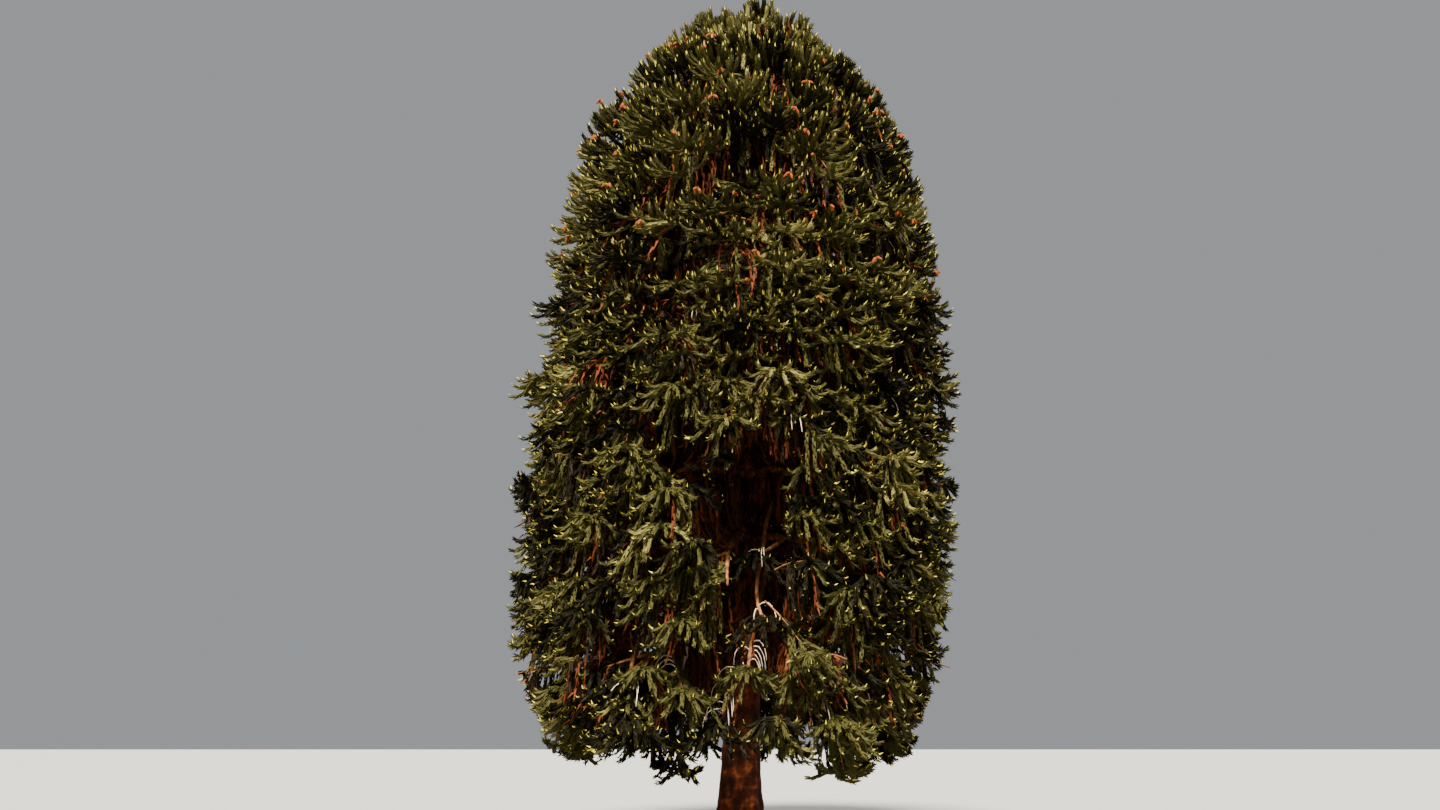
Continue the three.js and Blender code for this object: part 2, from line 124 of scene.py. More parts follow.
LEADER_TWIG_LEVEL = 0.5
AXIS_POINTS = 13

# Finer twigs, which the solids leave out. They spread evenly over the face of each mass, by steps that
# never repeat, and their ends reach a share of the crown's radius.
FINE_TWIG_AREA = (1.15, 0.46)  # square metres of the crown's face for each, from the ground to the top
FINE_TWIG_REACH = (0.72, 0.93)
SKIRT_TWIG_GAIN = 0.06  # how much further those of the skirt reach, and twice that on the right
LEFT_TWIG_GAIN = 0.07  # and those on the left, most of all at one height
LEFT_TWIG_HEIGHT = 6.1
LEFT_TWIG_SPAN = 1.1
STEP_ACROSS = 0.7549
STEP_UP = 0.5698
FACE_STEPS = 60
FACE_OVERLAP = 0.25  # how far their ends go past their tier's floor and ceiling
TOP_SKIRT = 0.4  # and past the floor of the top
FINE_TWIG_SINK = 0.5  # how far under its place a twig of the very top ends
FINE_TWIG_DEPTH = 0.34  # how far in a fine twig starts, at least, as a share of the crown's radius
FINE_TWIG_STRAIGHT = 1.8  # how much a start off to one side counts against one straight behind the end
TOO_FAR_OUT = 5  # metres that a start counts as further off, for each share of the radius it lacks in depth
FINE_TWIG_ARCH = 0.12
FINE_TWIG_RADII = (0.016, 0.008)

# Where shoots may grow. The crown's curve is drawn in or out by shares of its radius, and each shoot keeps
# to its own mass's space, out of the opening before the trunk and off the trunk.
SHOOT_REACH = 0.14  # how far past its twig's tip a shoot may reach
TOP_REACH = 0.86  # what is left of the radius at the crown's top
TOP_NARROWS_FROM = 12.4
TOP_LESS_RIGHT = 0.17  # and what more is lost there on the right
TOP_LESS_RIGHT_FROM = 10.6
SKIRT_REACH = 1.085  # the skirt's lowest shoots reach past the solids' curve, most of all on the right
SKIRT_MORE_RIGHT = 0.08
SKIRT_REACH_HEIGHT = 1.3
LEFT_FULLER = 0.085  # and so do those on the left above one height, fully from a little higher up
LEFT_FULLER_FROM = 5.0
LEFT_FULLER_RISE = 2
CROWN_LEFT = -3.9  # no shoot stands further to the left
HIGHEST_TIP = 14.86
SIDE_OVERLAP = 0.6  # how far a shoot may reach past the walls of its mass's space, into its neighbours'
LEVEL_OVERLAP = 1.0  # and past its floor and ceiling
LOWEST_BY_TRUNK = 1.7  # the lowest tips within a share of the radius, from which they ease to LOWEST_TIP
BY_TRUNK = 0.3
BY_TRUNK_EASE = 0.35
TRUNK_CLEAR = 0.1
DEAD_LOWEST = 1.7
WINDOW_CENTRE = (0.2, 4.0)  # the opening in front of the trunk, through which the front limbs droop
WINDOW_HALF = (0.52, 2.1)
WINDOW_DEPTH = -0.9
WINDOW_FROM = 7  # the point of a twig from which it may not stand in the opening
FRONT_ARCH_X = -0.08  # the crown's edge arches up in front of the trunk and leaves its foot in view
FRONT_ARCH_HALF = 0.5
FRONT_ARCH_TOP = 1.5

# The kinds of shoot: leafy and green, dead with its leaves on, and dead and bare.
LIVING, DEAD, BARE = 0, 1, 2

# What stands in two rows along each kind of limb: the share of the limb where the rows begin, the range
# in which their last dead shoot stands, the odds that one whole row is dead and that a stretch of one is
# bare, and the share of the crown's radius inside which all are dead. The two highest tiers are green,
# apart from the feet of their stems.
ROWS = {
    "stem": {"first": 0.1, "dead": (0.5, 0.8), "dead_row": 0.3, "bare": 0.2, "dead_within": 0.3},
    "twig": {"first": 0.04, "dead": (0, 0.5), "dead_row": 0.26, "bare": 0.12, "dead_within": 0.3},
    "fine": {"first": 0.06, "dead": (0, 0.35), "dead_row": 0.22, "bare": 0.06, "dead_within": 0.3},
    "front": {},
}
GREEN = {"dead": (0, 0), "dead_row": 0, "bare": 0, "dead_within": 0}
GREEN_STEM_DEAD = (0.3, 0.5)
LEADER_FIRST = 0.3
LEAST_ROW = 4  # shoots in the rows of the shortest limbs
ROW_JITTER = (0.35, 0.65)  # where a shoot stands in its own stretch of a row
ROW_TURNS = (80, 30)  # degrees from the limb, where the rows begin and near its tip
ROW_TURN_POWER = 1.6
ROW_TURN_PLAY = 8
ROW_HANG_FULL = 0.4  # the share of hanging shoots at which a tier's rows hang in full
HANG_LOSS = 0.75  # how much less a row hangs towards the tip of its twig, from a share of it on
HANG_LOSS_FROM = 0.5
HANG_LOSS_EASE = 0.45
HANG_HEIGHT = 0.9  # how far above the lowest tip a row hangs in full
BARE_STRETCH_FROM = (0.1, 0.5)  # where a bare stretch starts, as a share of the limb, and its length
BARE_STRETCH = 0.35
FRONT_RIBS = 0.55  # of the places for bleached twigs on a front limb, how many have one
UNDER_SHARE = 0.5  # of the upper tiers' rows, how many hang and close the crown from below
UNDER_FROM = 4
INNER_SHOOTS = {"stem": 33, "twig": 9, "fine": 5, "front": 0}  # dead ones all round each metre of a limb
INNER_STRETCH = (0.04, 0.8)
INNER_RISING_SHARE = 0.4  # of those dead shoots inside this share of the radius, how many rise
INNER_RISING_WITHIN = 0.6

# The rosette at each tip, from its oldest shoots, which arch over and hang, to the tuft at its middle.
HEAD_FROM = 0.87  # the share of a twig where its rows end and its rosette begins
HEAD_TO = 0.995
HEAD_CROWDING = 0.6  # a power below 1 crowds them towards the tip
HEAD_SHOOTS = {"stem": 14, "twig": 11, "fine": 11, "front": 24}
HEAD_TURN = 110  # degrees that they turn from the twig at most, to either side
LATEST_ROWS = HEAD_FROM - 0.05  # rows begin no later than this, and a dead row ends at the next one
DEAD_ROW_END = HEAD_FROM - 0.1
GOLDEN_TURN = 137.5  # degrees from one shoot or leaf of a spiral to the next

# A shoot's slopes in degrees: where it leaves its twig, half way, near the tip, and what the hook at the
# tip adds. Those of the upper crown turn to rising ones by the power of their tier's share of the height.
FINGER_SLOPES = np.array([-26, -46, -2, 62])
HANGING_SLOPES = np.array([-36, -82, -76, 74])
HEAD_OLD_SLOPES = np.array([-2, -70, -72, 76])
HEAD_TUFT_SLOPES = np.array([6, -18, 34, 46])
TOP_OLD_SLOPES = np.array([2, 40, 72, 8])
TOP_TUFT_SLOPES = np.array([48, 66, 78, 4])
BARE_SLOPES = (34, -38, -78, 0)
INNER_RISING_SLOPES = (22, 60, 74, 4)
OVER_GAIN = 14 * np.array([1, 1, 0.6, 0])  # what the upper tiers' rows gain that don't hang
SLOPE_PLAY = np.array([8, 4, 6, 10])
STEEPEST = 88
RISE_POWER = 2.2
FAN_BELOW = 1.85  # below this height rosettes fan out, and below the next one in full
FAN_FULL = 1.1
FAN_GAIN = np.array([2, 34, 36, -40])
FAN_REACH = 1.4  # how far past the skirt's curve, which draws in there, those of front limbs reach
ROW_TURN_OUT = 0.92  # how far a shoot's tip has turned from its first heading to straight out of the crown
HEAD_TURN_OUT = 0.25

# How long a shoot is against the mean: in a row from finger to curtain, and in a rosette from its oldest
# to its tuft, low down and at the crown's top. A bare one's length is in metres.
ROW_LENGTHS = (0.84, 1.16)
HEAD_LENGTHS = (1.05, 0.42)
TOP_HEAD_LENGTHS = (0.75, 0.6)
BARE_LENGTH = 0.6

SHOOT_SEED = 7041
SHOOT_STEPS = 12
TESTED = slice(4, None, 4)  # the points of a shoot that have to keep in
SHOOT_TRIES = 9
SHOOT_PLAY = (2, 24)  # degrees that a shoot strays from its row, at its first try and at its last
PLAY_POWER = 1.5
CURL_PLAY = 4
LENGTH_PLAY = (0.93, 1.07)
LAST_TRY_LENGTH = 0.4
FEWEST_SHOOTS = 1000  # with fewer than this the tree has failed to grow

# Limbs that droop in front of the trunk and end in a rosette: the mass they belong to, what stands in
# rows on them and where the rows begin, and their points. The last one carries a comb beside the trunk.
FRONT_LIMB_RADII = (0.05, 0.022)
FRONT_LIMBS = [
    ("low_mass_1", BARE, 0.9,
     [(0.9, -0.3, 6.07), (0.44, -1.4, 5.08), (0.38, -1.8, 4.52), (0.24, -2.1, 3.86), (0.3, -2.5, 3.36),
      (0.53, -2.9, 3.26)]),
    ("skirt_mass_6", BARE, 0.62,
     [(0.5, -0.4, 4.5), (0.29, -1.2, 3.43), (0.07, -1.7, 2.86), (-0.11, -2.0, 2.44), (-0.25, -2.3, 1.94),
      (-0.43, -2.6, 1.57)]),
    ("low_mass_1", BARE, 0.55,
     [(0.31, -0.6, 3.81), (0.2, -1.6, 3.08), (0.12, -2.2, 2.66), (0.13, -2.6, 2.54)]),
    ("low_mass_1", BARE, 0.55,
     [(-0.65, -0.4, 4.84), (-0.92, -1.6, 3.99), (-0.84, -2.1, 3.51), (-0.72, -2.5, 3.14)]),
    ("skirt_mass_6", BARE, 0.7,
     [(-1.38, -0.8, 3.63), (-1.66, -1.9, 2.91), (-1.69, -2.4, 2.35), (-1.7, -2.8, 1.7)]),
    ("skirt_mass_1", BARE, 0.55,
     [(1.01, -0.8, 3.63), (1.22, -1.9, 2.68), (1.31, -2.3, 2.13), (1.46, -2.6, 1.75)]),
    ("lower_middle_mass_1", BARE, 0.9,
     [(0.92, -0.9, 4.94), (0.57, -1.9, 4.54), (0.19, -2.2, 4.33)]),
    ("lower_middle_mass_1", BARE, 0.5,
     [(1.05, -0.6, 5.5), (1.29, -1.8, 4.89), (1.42, -2.5, 4.5)]),
    ("skirt_mass_6", LIVING, 0.2,
     [(-0.1, -0.4, 2.75), (-0.55, -0.8, 2.22), (-1.05, -1.0, 2.12), (-1.5, -1.15, 1.98), (-1.75, -1.2, 1.9)]),
]

# A leaf on its shoot, by shares of the shoot's length, of its core's radius and of the leaf's length.
LEAVES_END = 0.97
BUD_FROM = 0.88  # from this share of the shoot on, its leaves close up into a bud
BUD_CLOSING = 0.5  # how much thinner and shorter they get there
BUD_SPREAD = 0.4
KEEL_OUT = 1.3  # a keel's foot stands this far out and back
KEEL_BACK = 0.08
TUBE_CAP = 0.3  # how far the point at a limb's tip stands out, by the radius there

# Which green a living shoot takes. The shares are of all shoots. Those high in the crown are paler, as
# painted sunlight, and those that hang are duller, as painted shade.
YOUNG_SHARE = 0.13
# Painted sunlight: more pale shoots towards the top. Painted shade: fewer pale shoots among those that hang.
SUNLIT_MORE_AT_TOP = 0.08
PALE_LESS_IN_SHADE = 0.04
MIDDLE_SHARE = 0.46
SHADE_CHANCE = 0.35  # how much of it is each shoot's own, and the rest is its twig's
# Painted shade: shoots that hang more often lack the yellow-green tip.
DULL_TIPS = 0.05  # of the shoots, how many have no new growth, and how many more of those that hang
DULL_TIPS_IN_SHADE = 0.45
LONG_TIPS_FROM = 0.9  # past this chance the new growth is long
TIP_SHARES = (0.05, 0.09)  # of its leaves, how many are new growth on most shoots and on those

# Dead shoots: their leaves' length, width, core and spread against living ones', as they are fewer.
DEAD_LEAF = np.array([1.7, 1.25, 0.8, 1.0])
LONG_DEAD_SHARE = 0.48  # how many of them are dark brown
BARE_RADII = (0.01, 0.006)
BARE_SIDES = 4

# Pollen cones: which tips bear them, by height, share of the crown's radius and how far the shoot hangs.
CONE_SEED = 9
CONE_HEIGHTS = (8.2, 13.6)
CONES_OUTSIDE = 0.84
CONE_HANG = 0.5
CONES_EACH = 3
CONE_TURN = 120  # degrees that a cone turns from its shoot at most, to either side
CONE_SLOPES = (-75, -15)
CONE_BEND = (20, 0, -15, 0)  # added to the slopes along it, as for a shoot
CONE_LENGTHS = (0.85, 1.1)
CONE_PROFILE = np.array([0.35, 0.9, 1.05, 0.98, 0.9, 0.66, 0.2])
CONE_SCALES = 0.16  # how far the scales stand out of the profile, and back between them

# The trunk's mesh and the noise in its bark: cells round and up the trunk, and a seed for each.
TRUNK_SIDES = 84
TRUNK_RINGS = 270
RING_POWER = 1.5  # how much closer the rings stand at the foot
BARK_WANDER = {"cells": (5, 30), "seed": 3}
BARK_PLATES = {"cells": (15, 62), "seed": 5}
BARK_SCARS = {"cells": (4, 230), "seed": 7}
BARK_GRAIN = {"cells": (44, 400), "seed": 9}
WANDER = 0.03  # how far the plates' edges wander round the trunk, as a share of its turn
BARK_SHARES = (0.55, 0.25, 0.2)  # of the plates, the scars and the grain in the relief
BARK_LEVEL = 0.6  # the relief's height that stands at the trunk's own radius
TIP_RELIEF = 0.5

# The same on limbs, with the height at their own radius, and the faces round and rings along twigs.
LIMB_SIDES = 9
LIMB_RINGS = 46
LIMB_SCARS = (2, 70)
LIMB_KNOTS = (4, 24)
LIMB_SEEDS = (50, 90)  # what the seeds of the scars and the knots add to the number of the mass
LIMB_SHARES = (0.6, 0.4)
LIMB_RELIEF = 0.13  # of the limb's radius
LIMB_LEVEL = 0.4
TWIG_RELIEF = 0.6  # the same all over, as twigs have none of their own
TWIG_MESHES = {"twig": (5, 8), "fine": (4, 5), "front": (8, 18)}

# Bark colours from furrow to worn plate, as places on the ramp and sRGB hex, and the plates' real size. The
# dark of the furrows is partly the bark's own colour and partly painted shade.
TRUNK_BARK = [(0.36, "#0f0502"), (0.6, "#2f1105"), (0.82, "#53230c"), (0.97, "#80421e")]
TRUNK_PLATE = 0.05
LIMB_BARK = [(0.3, "#231209"), (0.6, "#4c2914"), (0.85, "#6e4421"), (1.0, "#8e6235")]
LIMB_PLATE = 0.03
LEAF_GRAIN = 1 / 120  # 8 mm, coarser than on a real leaf, so that it shows

# The stage. A light has its spread and its tilt and turn from straight overhead, in degrees.
KEY_LIGHT = {"spread": 14, "tilt": 36, "turn": -10, "colour": (1.0, 0.96, 0.89)}
FILL_LIGHT = {"spread": 40, "tilt": -48, "turn": -20, "colour": (1.0, 1.0, 1.0)}
FLOOR_HALF = 150.0
SKY_COLOUR = "#e9edf2"
CAMERA_X = -0.31
CAMERA_LENS = 35
CAMERA_SENSOR = 36
CAMERA_CLIP = 600

UP = np.array([0.0, 0.0, 1.0])


def mix(a, b, share):
    """a at share 0, b at share 1, and evenly between."""
    return a + (b - a) * share


def ease(t):
    """3 t^2 - 2 t^3 with t held from 0 to 1, which starts and ends level."""
    t = np.clip(t, 0, 1)
    return t * t * (3 - 2 * t)


def unit(vectors):
    """Each vector divided by its length."""
    return vectors / np.maximum(np.linalg.norm(vectors, axis=-1, keepdims=True), 1e-9)


def lean_at(z):
    """How far the trunk's axis stands towards +X at height z."""
    return LEAN * z / CROWN_TOP


def on_trunk(z):
    """The point of the trunk's axis at height z."""
    return np.array([lean_at(z), 0, z])


def crown_radius(z):
    """R (1 - s^p)^(1/p), where s is the share of the way from the widest height to the crown's end."""
    above = z > CROWN_WIDEST
    span = np.where(above, CROWN_TOP - CROWN_WIDEST, CROWN_WIDEST - CROWN_BASE)
    power = np.where(above, DOME_POWER, SKIRT_POWER)
    share = np.minimum(np.abs(z - CROWN_WIDEST) / span, 1)
    return CROWN_RADIUS * (1 - share**power) ** (1 / power)


def trunk_radius(z):
    """The radius at the top, plus the rest times (1 - z / top)^p."""
    share = np.maximum(1 - z / TRUNK_TOP, 0)
    return TRUNK_TOP_RADIUS + (TRUNK_RADIUS - TRUNK_TOP_RADIUS) * share**TRUNK_TAPER_POWER


def limb_height(tier, q):
    """root + rise q + (tip - root - rise) q^2 at share q of the crown's radius."""
    return ROOTS[tier] + RISES[tier] * q + (TIPS[tier] - ROOTS[tier] - RISES[tier]) * q * q


def ceiling(tier, q):
    """A share of the way from a tier's limbs to the next tier's, and the crown's top for the last."""
    above = np.minimum(tier + 1, TOP_TIER)
    between = mix(limb_height(tier, q), limb_height(above, q), CEILING_SHARE)
    return np.where(tier == TOP_TIER, CROWN_TOP, between)


def floor_of(tier, q):
    """The ceiling of the tier below, and the lowest tip for the first."""
    return np.where(tier == 0, LOWEST_TIP, ceiling(np.maximum(tier - 1, 0), q))


def centre_at(q, z):
    """From the trunk's axis at q = 0 to the crown's own centre line at q = 1."""
    return mix(lean_at(z), mix(CROWN_OFFSET, LEAN, z / CROWN_TOP), q)


def crown_point(q, azimuth, z):
    """The point at share q of the crown's radius, an azimuth and a height."""
    r = q * crown_radius(z)
    x = centre_at(q, z) + r * np.cos(azimuth)
    return np.stack(np.broadcast_arrays(x, r * np.sin(azimuth), z), axis=-1)


def crown_share(points):
    """q, azimuth and radius of points, by steps that each bring q ten times closer."""
    x, y, z = points[..., 0], points[..., 1], points[..., 2]
    full = np.maximum(crown_radius(z), 1e-3)
    q = np.hypot(x - lean_at(z), y) / full
    for _ in range(CENTRE_STEPS):
        q = np.hypot(x - centre_at(q, z), y) / full
    return q, np.arctan2(y, x - centre_at(q, z)), q * full


def narrowing(azimuth, z):
    """How far the grown crown keeps inside the solids' curve near the top, most of all on the right."""
    high = ease((z - TOP_LESS_RIGHT_FROM) / (CROWN_TOP - TOP_LESS_RIGHT_FROM))
    narrower = mix(1, TOP_REACH, ease((z - TOP_NARROWS_FROM) / (CROWN_TOP - TOP_NARROWS_FROM)))
    return narrower - TOP_LESS_RIGHT * np.maximum(np.cos(azimuth), 0) * high


def draws(seed):
    """Numbers from 0 to 1, each the last state times 1664525 plus 1013904223 over 2^32."""
    state = (seed * 2654435761) % 2**32
    while True:
        state = (state * 1664525 + 1013904223) % 2**32
        yield state / 2**32


def lay_out():
    """Every mass with its tier, sector and reach, and its seeded stem and twigs, as the solids have."""
    masses = []
    for index, tier in enumerate(TIERS):
        sector = (360 - tier["gap"]) / tier["masses"]
        for i in range(tier["masses"]):
            random = draws(SEED + 100 * index + i)
            single = tier["masses"] == 1
            masses.append({
                "name": f"{tier['name']}_mass" + ("" if single else f"_{i + 1}"),
                "bough": f"{tier['name']}_bough_{i + 1}" if tier["name"] in BOUGH_TIERS else None,
                "tier": index,
                "azimuth": math.radians(FRONT + tier["first"] + sector * i),
                "half": math.pi if single else math.radians(sector / 2),
                "reach": mix(LEAST_REACH, 1, next(random)),
                "sway": mix(-STEM_SWAY, STEM_SWAY, next(random)),
                "lift": mix(-LIMB_LIFT, LIMB_LIFT, next(random)),
                "twig_lifts": [mix(-LIMB_LIFT, LIMB_LIFT, next(random)) for _ in TWIGS],
            })
    return masses


MASSES = lay_out()


def stem_points(mass, t):
    """Points of a mass's own limb: q = reach t, azimuth sways by sin(pi t), height gains lift t^2."""
    q = t * STEM_REACH
    azimuth = mass["azimuth"] + mass["sway"] * mass["half"] * np.sin(np.pi * t)
    return crown_point(q, azimuth, limb_height(mass["tier"], q) + mass["lift"] * t * t)


def arch(start, end, count, rise=TWIG_ARCH):
    """A quadratic curve from start to end, its middle raised by a share of its length."""
    middle = (start + end) / 2 + UP * rise * np.linalg.norm(end - start)
    t = np.linspace(0, 1, count)[:, None]
    return (1 - t) ** 2 * start + 2 * t * (1 - t) * middle + t**2 * end


def twig_path(mass, index):
    """One of a mass's six twigs, from its share of the stem to its place near the crown's face."""
    at, spread, level = TWIGS[index]
    start = stem_points(mass, np.array(at))
    azimuth = mass["azimuth"] + spread * mass["half"]
    low, high = floor_of(mass["tier"], TWIG_REACH), ceiling(mass["tier"], TWIG_REACH)
    end_z = mix(low, high, level) + mass["twig_lifts"][index] * TWIG_LIFT_SHARE
    end = crown_point(TWIG_REACH * narrowing(azimuth, end_z), azimuth, end_z)
    return arch(start, end, AXIS_POINTS)


def leader_twig_path(index):
    """One of the leader's twigs, which leave it all round and rise to the dome's face."""
    azimuth = (index + 0.5) * 2 * np.pi / LEADER_TWIGS
    start = on_trunk(mix(TRUNK_TOP, LEADER_TIP, LEADER_TWIG_STARTS[index % len(LEADER_TWIG_STARTS)]))
    end_z = mix(floor_of(TOP_TIER, LEADER_TWIG_REACH), CROWN_TOP, LEADER_TWIG_LEVEL)
    end = crown_point(LEADER_TWIG_REACH * narrowing(azimuth, end_z), azimuth, end_z)
    return arch(start, end, AXIS_POINTS)


def fine_twig_paths(mass, axes, random):
    """Finer twigs that spread evenly over the face of a mass. Their ends follow two steps of irrational
    length, one across the sector and one up the face by its area. They reach a random share of the
    radius, further out in the skirt and on the left, and each starts at the nearest inner point of the
    mass's stem and twigs, where one straight behind the end counts as nearer."""
    tier = mass["tier"]
    past = FACE_OVERLAP * (0 < tier < TOP_TIER)
    lowest = float(floor_of(tier, TWIG_REACH)) - TOP_SKIRT * (tier == TOP_TIER) - past
    z = np.linspace(lowest, float(ceiling(tier, TWIG_REACH)) + past, FACE_STEPS)
    r = TWIG_REACH * crown_radius(z)
    steps = np.hypot(np.diff(r), np.diff(z)) * (r[1:] + r[:-1]) / 2
    area = np.concatenate([[0], np.cumsum(steps)]) * 2 * mass["half"]
    count = max(round(area[-1] / mix(*FINE_TWIG_AREA, tier / TOP_TIER)), 2)
    turns = (random.uniform() + STEP_ACROSS * np.arange(count)) % 1
    rises = (random.uniform() + STEP_UP * np.arange(count)) % 1
    azimuth = mass["azimuth"] + (2 * turns - 1) * mass["half"]
    height = np.interp(rises * area[-1], area, z)
    reach = random.uniform(*FINE_TWIG_REACH, count)
    reach += SKIRT_TWIG_GAIN * (tier == 0) * (1 + np.maximum(np.cos(azimuth), 0))
    near = np.exp(-(((height - LEFT_TWIG_HEIGHT) / LEFT_TWIG_SPAN) ** 2))
    reach += LEFT_TWIG_GAIN * near * np.maximum(-np.cos(azimuth), 0)
    sunk = FINE_TWIG_SINK * np.maximum(height - CROWN_WIDEST, 0) / (CROWN_TOP - CROWN_WIDEST)
    ends = crown_point(reach * narrowing(azimuth, height), azimuth, height) - UP * sunk[:, None]
    inner = np.concatenate([axis[2:-2] for axis in axes])
    offset = ends[:, None] - inner[None]
    radial = offset[..., 0] * np.cos(azimuth)[:, None] + offset[..., 1] * np.sin(azimuth)[:, None]
    aside = np.sum(offset**2, axis=-1) - radial**2
    away = np.sqrt(radial**2 + FINE_TWIG_STRAIGHT**2 * np.maximum(aside, 0))
    shallow = crown_share(inner)[0][None] - reach[:, None] + FINE_TWIG_DEPTH
    away = away + TOO_FAR_OUT * np.maximum(shallow, 0)
    starts = inner[np.argmin(away, axis=1)]
    return [arch(a, b, AXIS_POINTS, FINE_TWIG_ARCH) for a, b in zip(starts, ends)]


def in_window(points):
    """True where points lie in the opening in front of the trunk, an ellipse seen from the front."""
    across = (points[..., 0] - WINDOW_CENTRE[0]) / WINDOW_HALF[0]
    up = (points[..., 2] - WINDOW_CENTRE[1]) / WINDOW_HALF[1]
    return (across**2 + up**2 < 1) & (points[..., 1] < WINDOW_DEPTH)


def rounded(points):
    """A curve through points: each corner is cut at a quarter and at three quarters of its sides, three
    times over, and the ends stay."""
    points = np.array(points)
    for _ in range(3):
        cut = np.stack([mix(points[:-1], points[1:], 0.25), mix(points[:-1], points[1:], 0.75)], axis=1)
        points = np.concatenate([points[:1], cut.reshape(-1, 3)[1:-1], points[-1:]])
    return points


def row_habits(kind, tier):
    """What stands in rows on a limb. In the two highest tiers only the feet of stems carry dead shoots."""
    if HANGS[tier] > 0 and kind != "front":
        return ROWS[kind]
    return {**ROWS[kind], **GREEN, **({"dead": GREEN_STEM_DEAD} if kind == "stem" else {})}


def grow_axes(masses, random):
    """Every bare limb and twig: its kind, mass, tier and bough, its path, its radii at both ends, and the
    habits of its rows of shoots. A twig that would cross the opening before the trunk isn't grown."""
    axes = []

    def grow(kind, index, paths, radii, **more):
        """Adds limbs of one kind to one mass."""
        mass = masses[index]
        for path in paths:
            axes.append({"kind": kind, "mass": index, "tier": mass["tier"], "bough": mass["bough"],
                         "path": path, "radii": radii, **row_habits(kind, mass["tier"]), **more})

    for index, mass in enumerate(masses):
        if mass["tier"] == TOP_TIER:
            stem = np.linspace(on_trunk(TRUNK_TOP), on_trunk(LEADER_TIP), AXIS_POINTS)
            twigs = [leader_twig_path(i) for i in range(LEADER_TWIGS)]
            grow("stem", index, [stem], (TRUNK_TOP_RADIUS, STEM_TIP_RADIUS), first=LEADER_FIRST)
        else:
            stem = stem_points(mass, np.linspace(STEM_START, 1, 3 * AXIS_POINTS))
            twigs = [twig_path(mass, i) for i in range(len(TWIGS))]
            thickest = min(LIMB_RADIUS, LIMB_TRUNK_SHARE * float(trunk_radius(ROOTS[mass["tier"]])))
            grow("stem", index, [stem], (thickest, STEM_TIP_RADIUS))
        grow("twig", index, twigs, TWIG_RADII)
        grow("fine", index, fine_twig_paths(mass, [stem, *twigs], random), FINE_TWIG_RADII)
    axes = [axis for axis in axes
            if axis["kind"] == "stem" or not in_window(axis["path"][WINDOW_FROM:]).any()]
    index_of = {mass["name"]: index for index, mass in enumerate(masses)}
    for name, rows, first, points in FRONT_LIMBS:
        grow("front", index_of[name], [rounded(points)], FRONT_LIMB_RADII, first=first, rows=rows)
    return axes


def along(path, shares):
    """Points and unit directions at shares of a path's length."""
    steps = np.linalg.norm(np.diff(path, axis=0), axis=1)
    lengths = np.concatenate([[0], np.cumsum(steps)])
    at = shares * lengths[-1]
    points = np.stack([np.interp(at, lengths, path[:, k]) for k in range(3)], axis=-1)
    piece = np.clip(np.searchsorted(lengths, at) - 1, 0, len(path) - 2)
    return points, unit(np.diff(path, axis=0))[piece], lengths[-1]


def row_kinds(axis, place, side, random):
    """Whether each shoot of a limb's two rows is living, dead or bare. They are dead up to a random place
    on it, on all of one side by the limb's odds, and near the trunk, and a stretch of one side may be
    bare. On a limb whose rows are all bleached ribs, some places have a dead shoot instead."""
    kind = np.full(len(place), axis.get("rows", LIVING))
    sparse = (kind == BARE) & (random.uniform(size=len(place)) > FRONT_RIBS)
    kind[place < random.uniform(*axis["dead"])] = DEAD
    if random.uniform() < axis["dead_row"]:
        kind[(side == random.choice([-1, 1])) & (place < DEAD_ROW_END)] = DEAD
    within = crown_share(along(axis["path"], place)[0])[0] < axis["dead_within"]
    kind[within & (kind == LIVING)] = DEAD
    if random.uniform() < axis["bare"]:
        start = random.uniform(*BARE_STRETCH_FROM)
        kind[(place > start) & (place < start + BARE_STRETCH) & (side == random.choice([-1, 1]))] = BARE
    kind[sparse] = DEAD
    return kind


def reach_of(axis):
    """How far out a limb's shoots may reach, as a share of the crown's radius: a little past the limb's
    own tip. Those of a front limb reach the crown's curve, and past it where the limb ends low down."""
    tip = axis["path"][-1]
    if axis["kind"] == "front":
        return FAN_REACH if tip[2] < FAN_BELOW else 1
    share, azimuth, _ = crown_share(tip)
    return share / narrowing(azimuth, tip[2]) + SHOOT_REACH


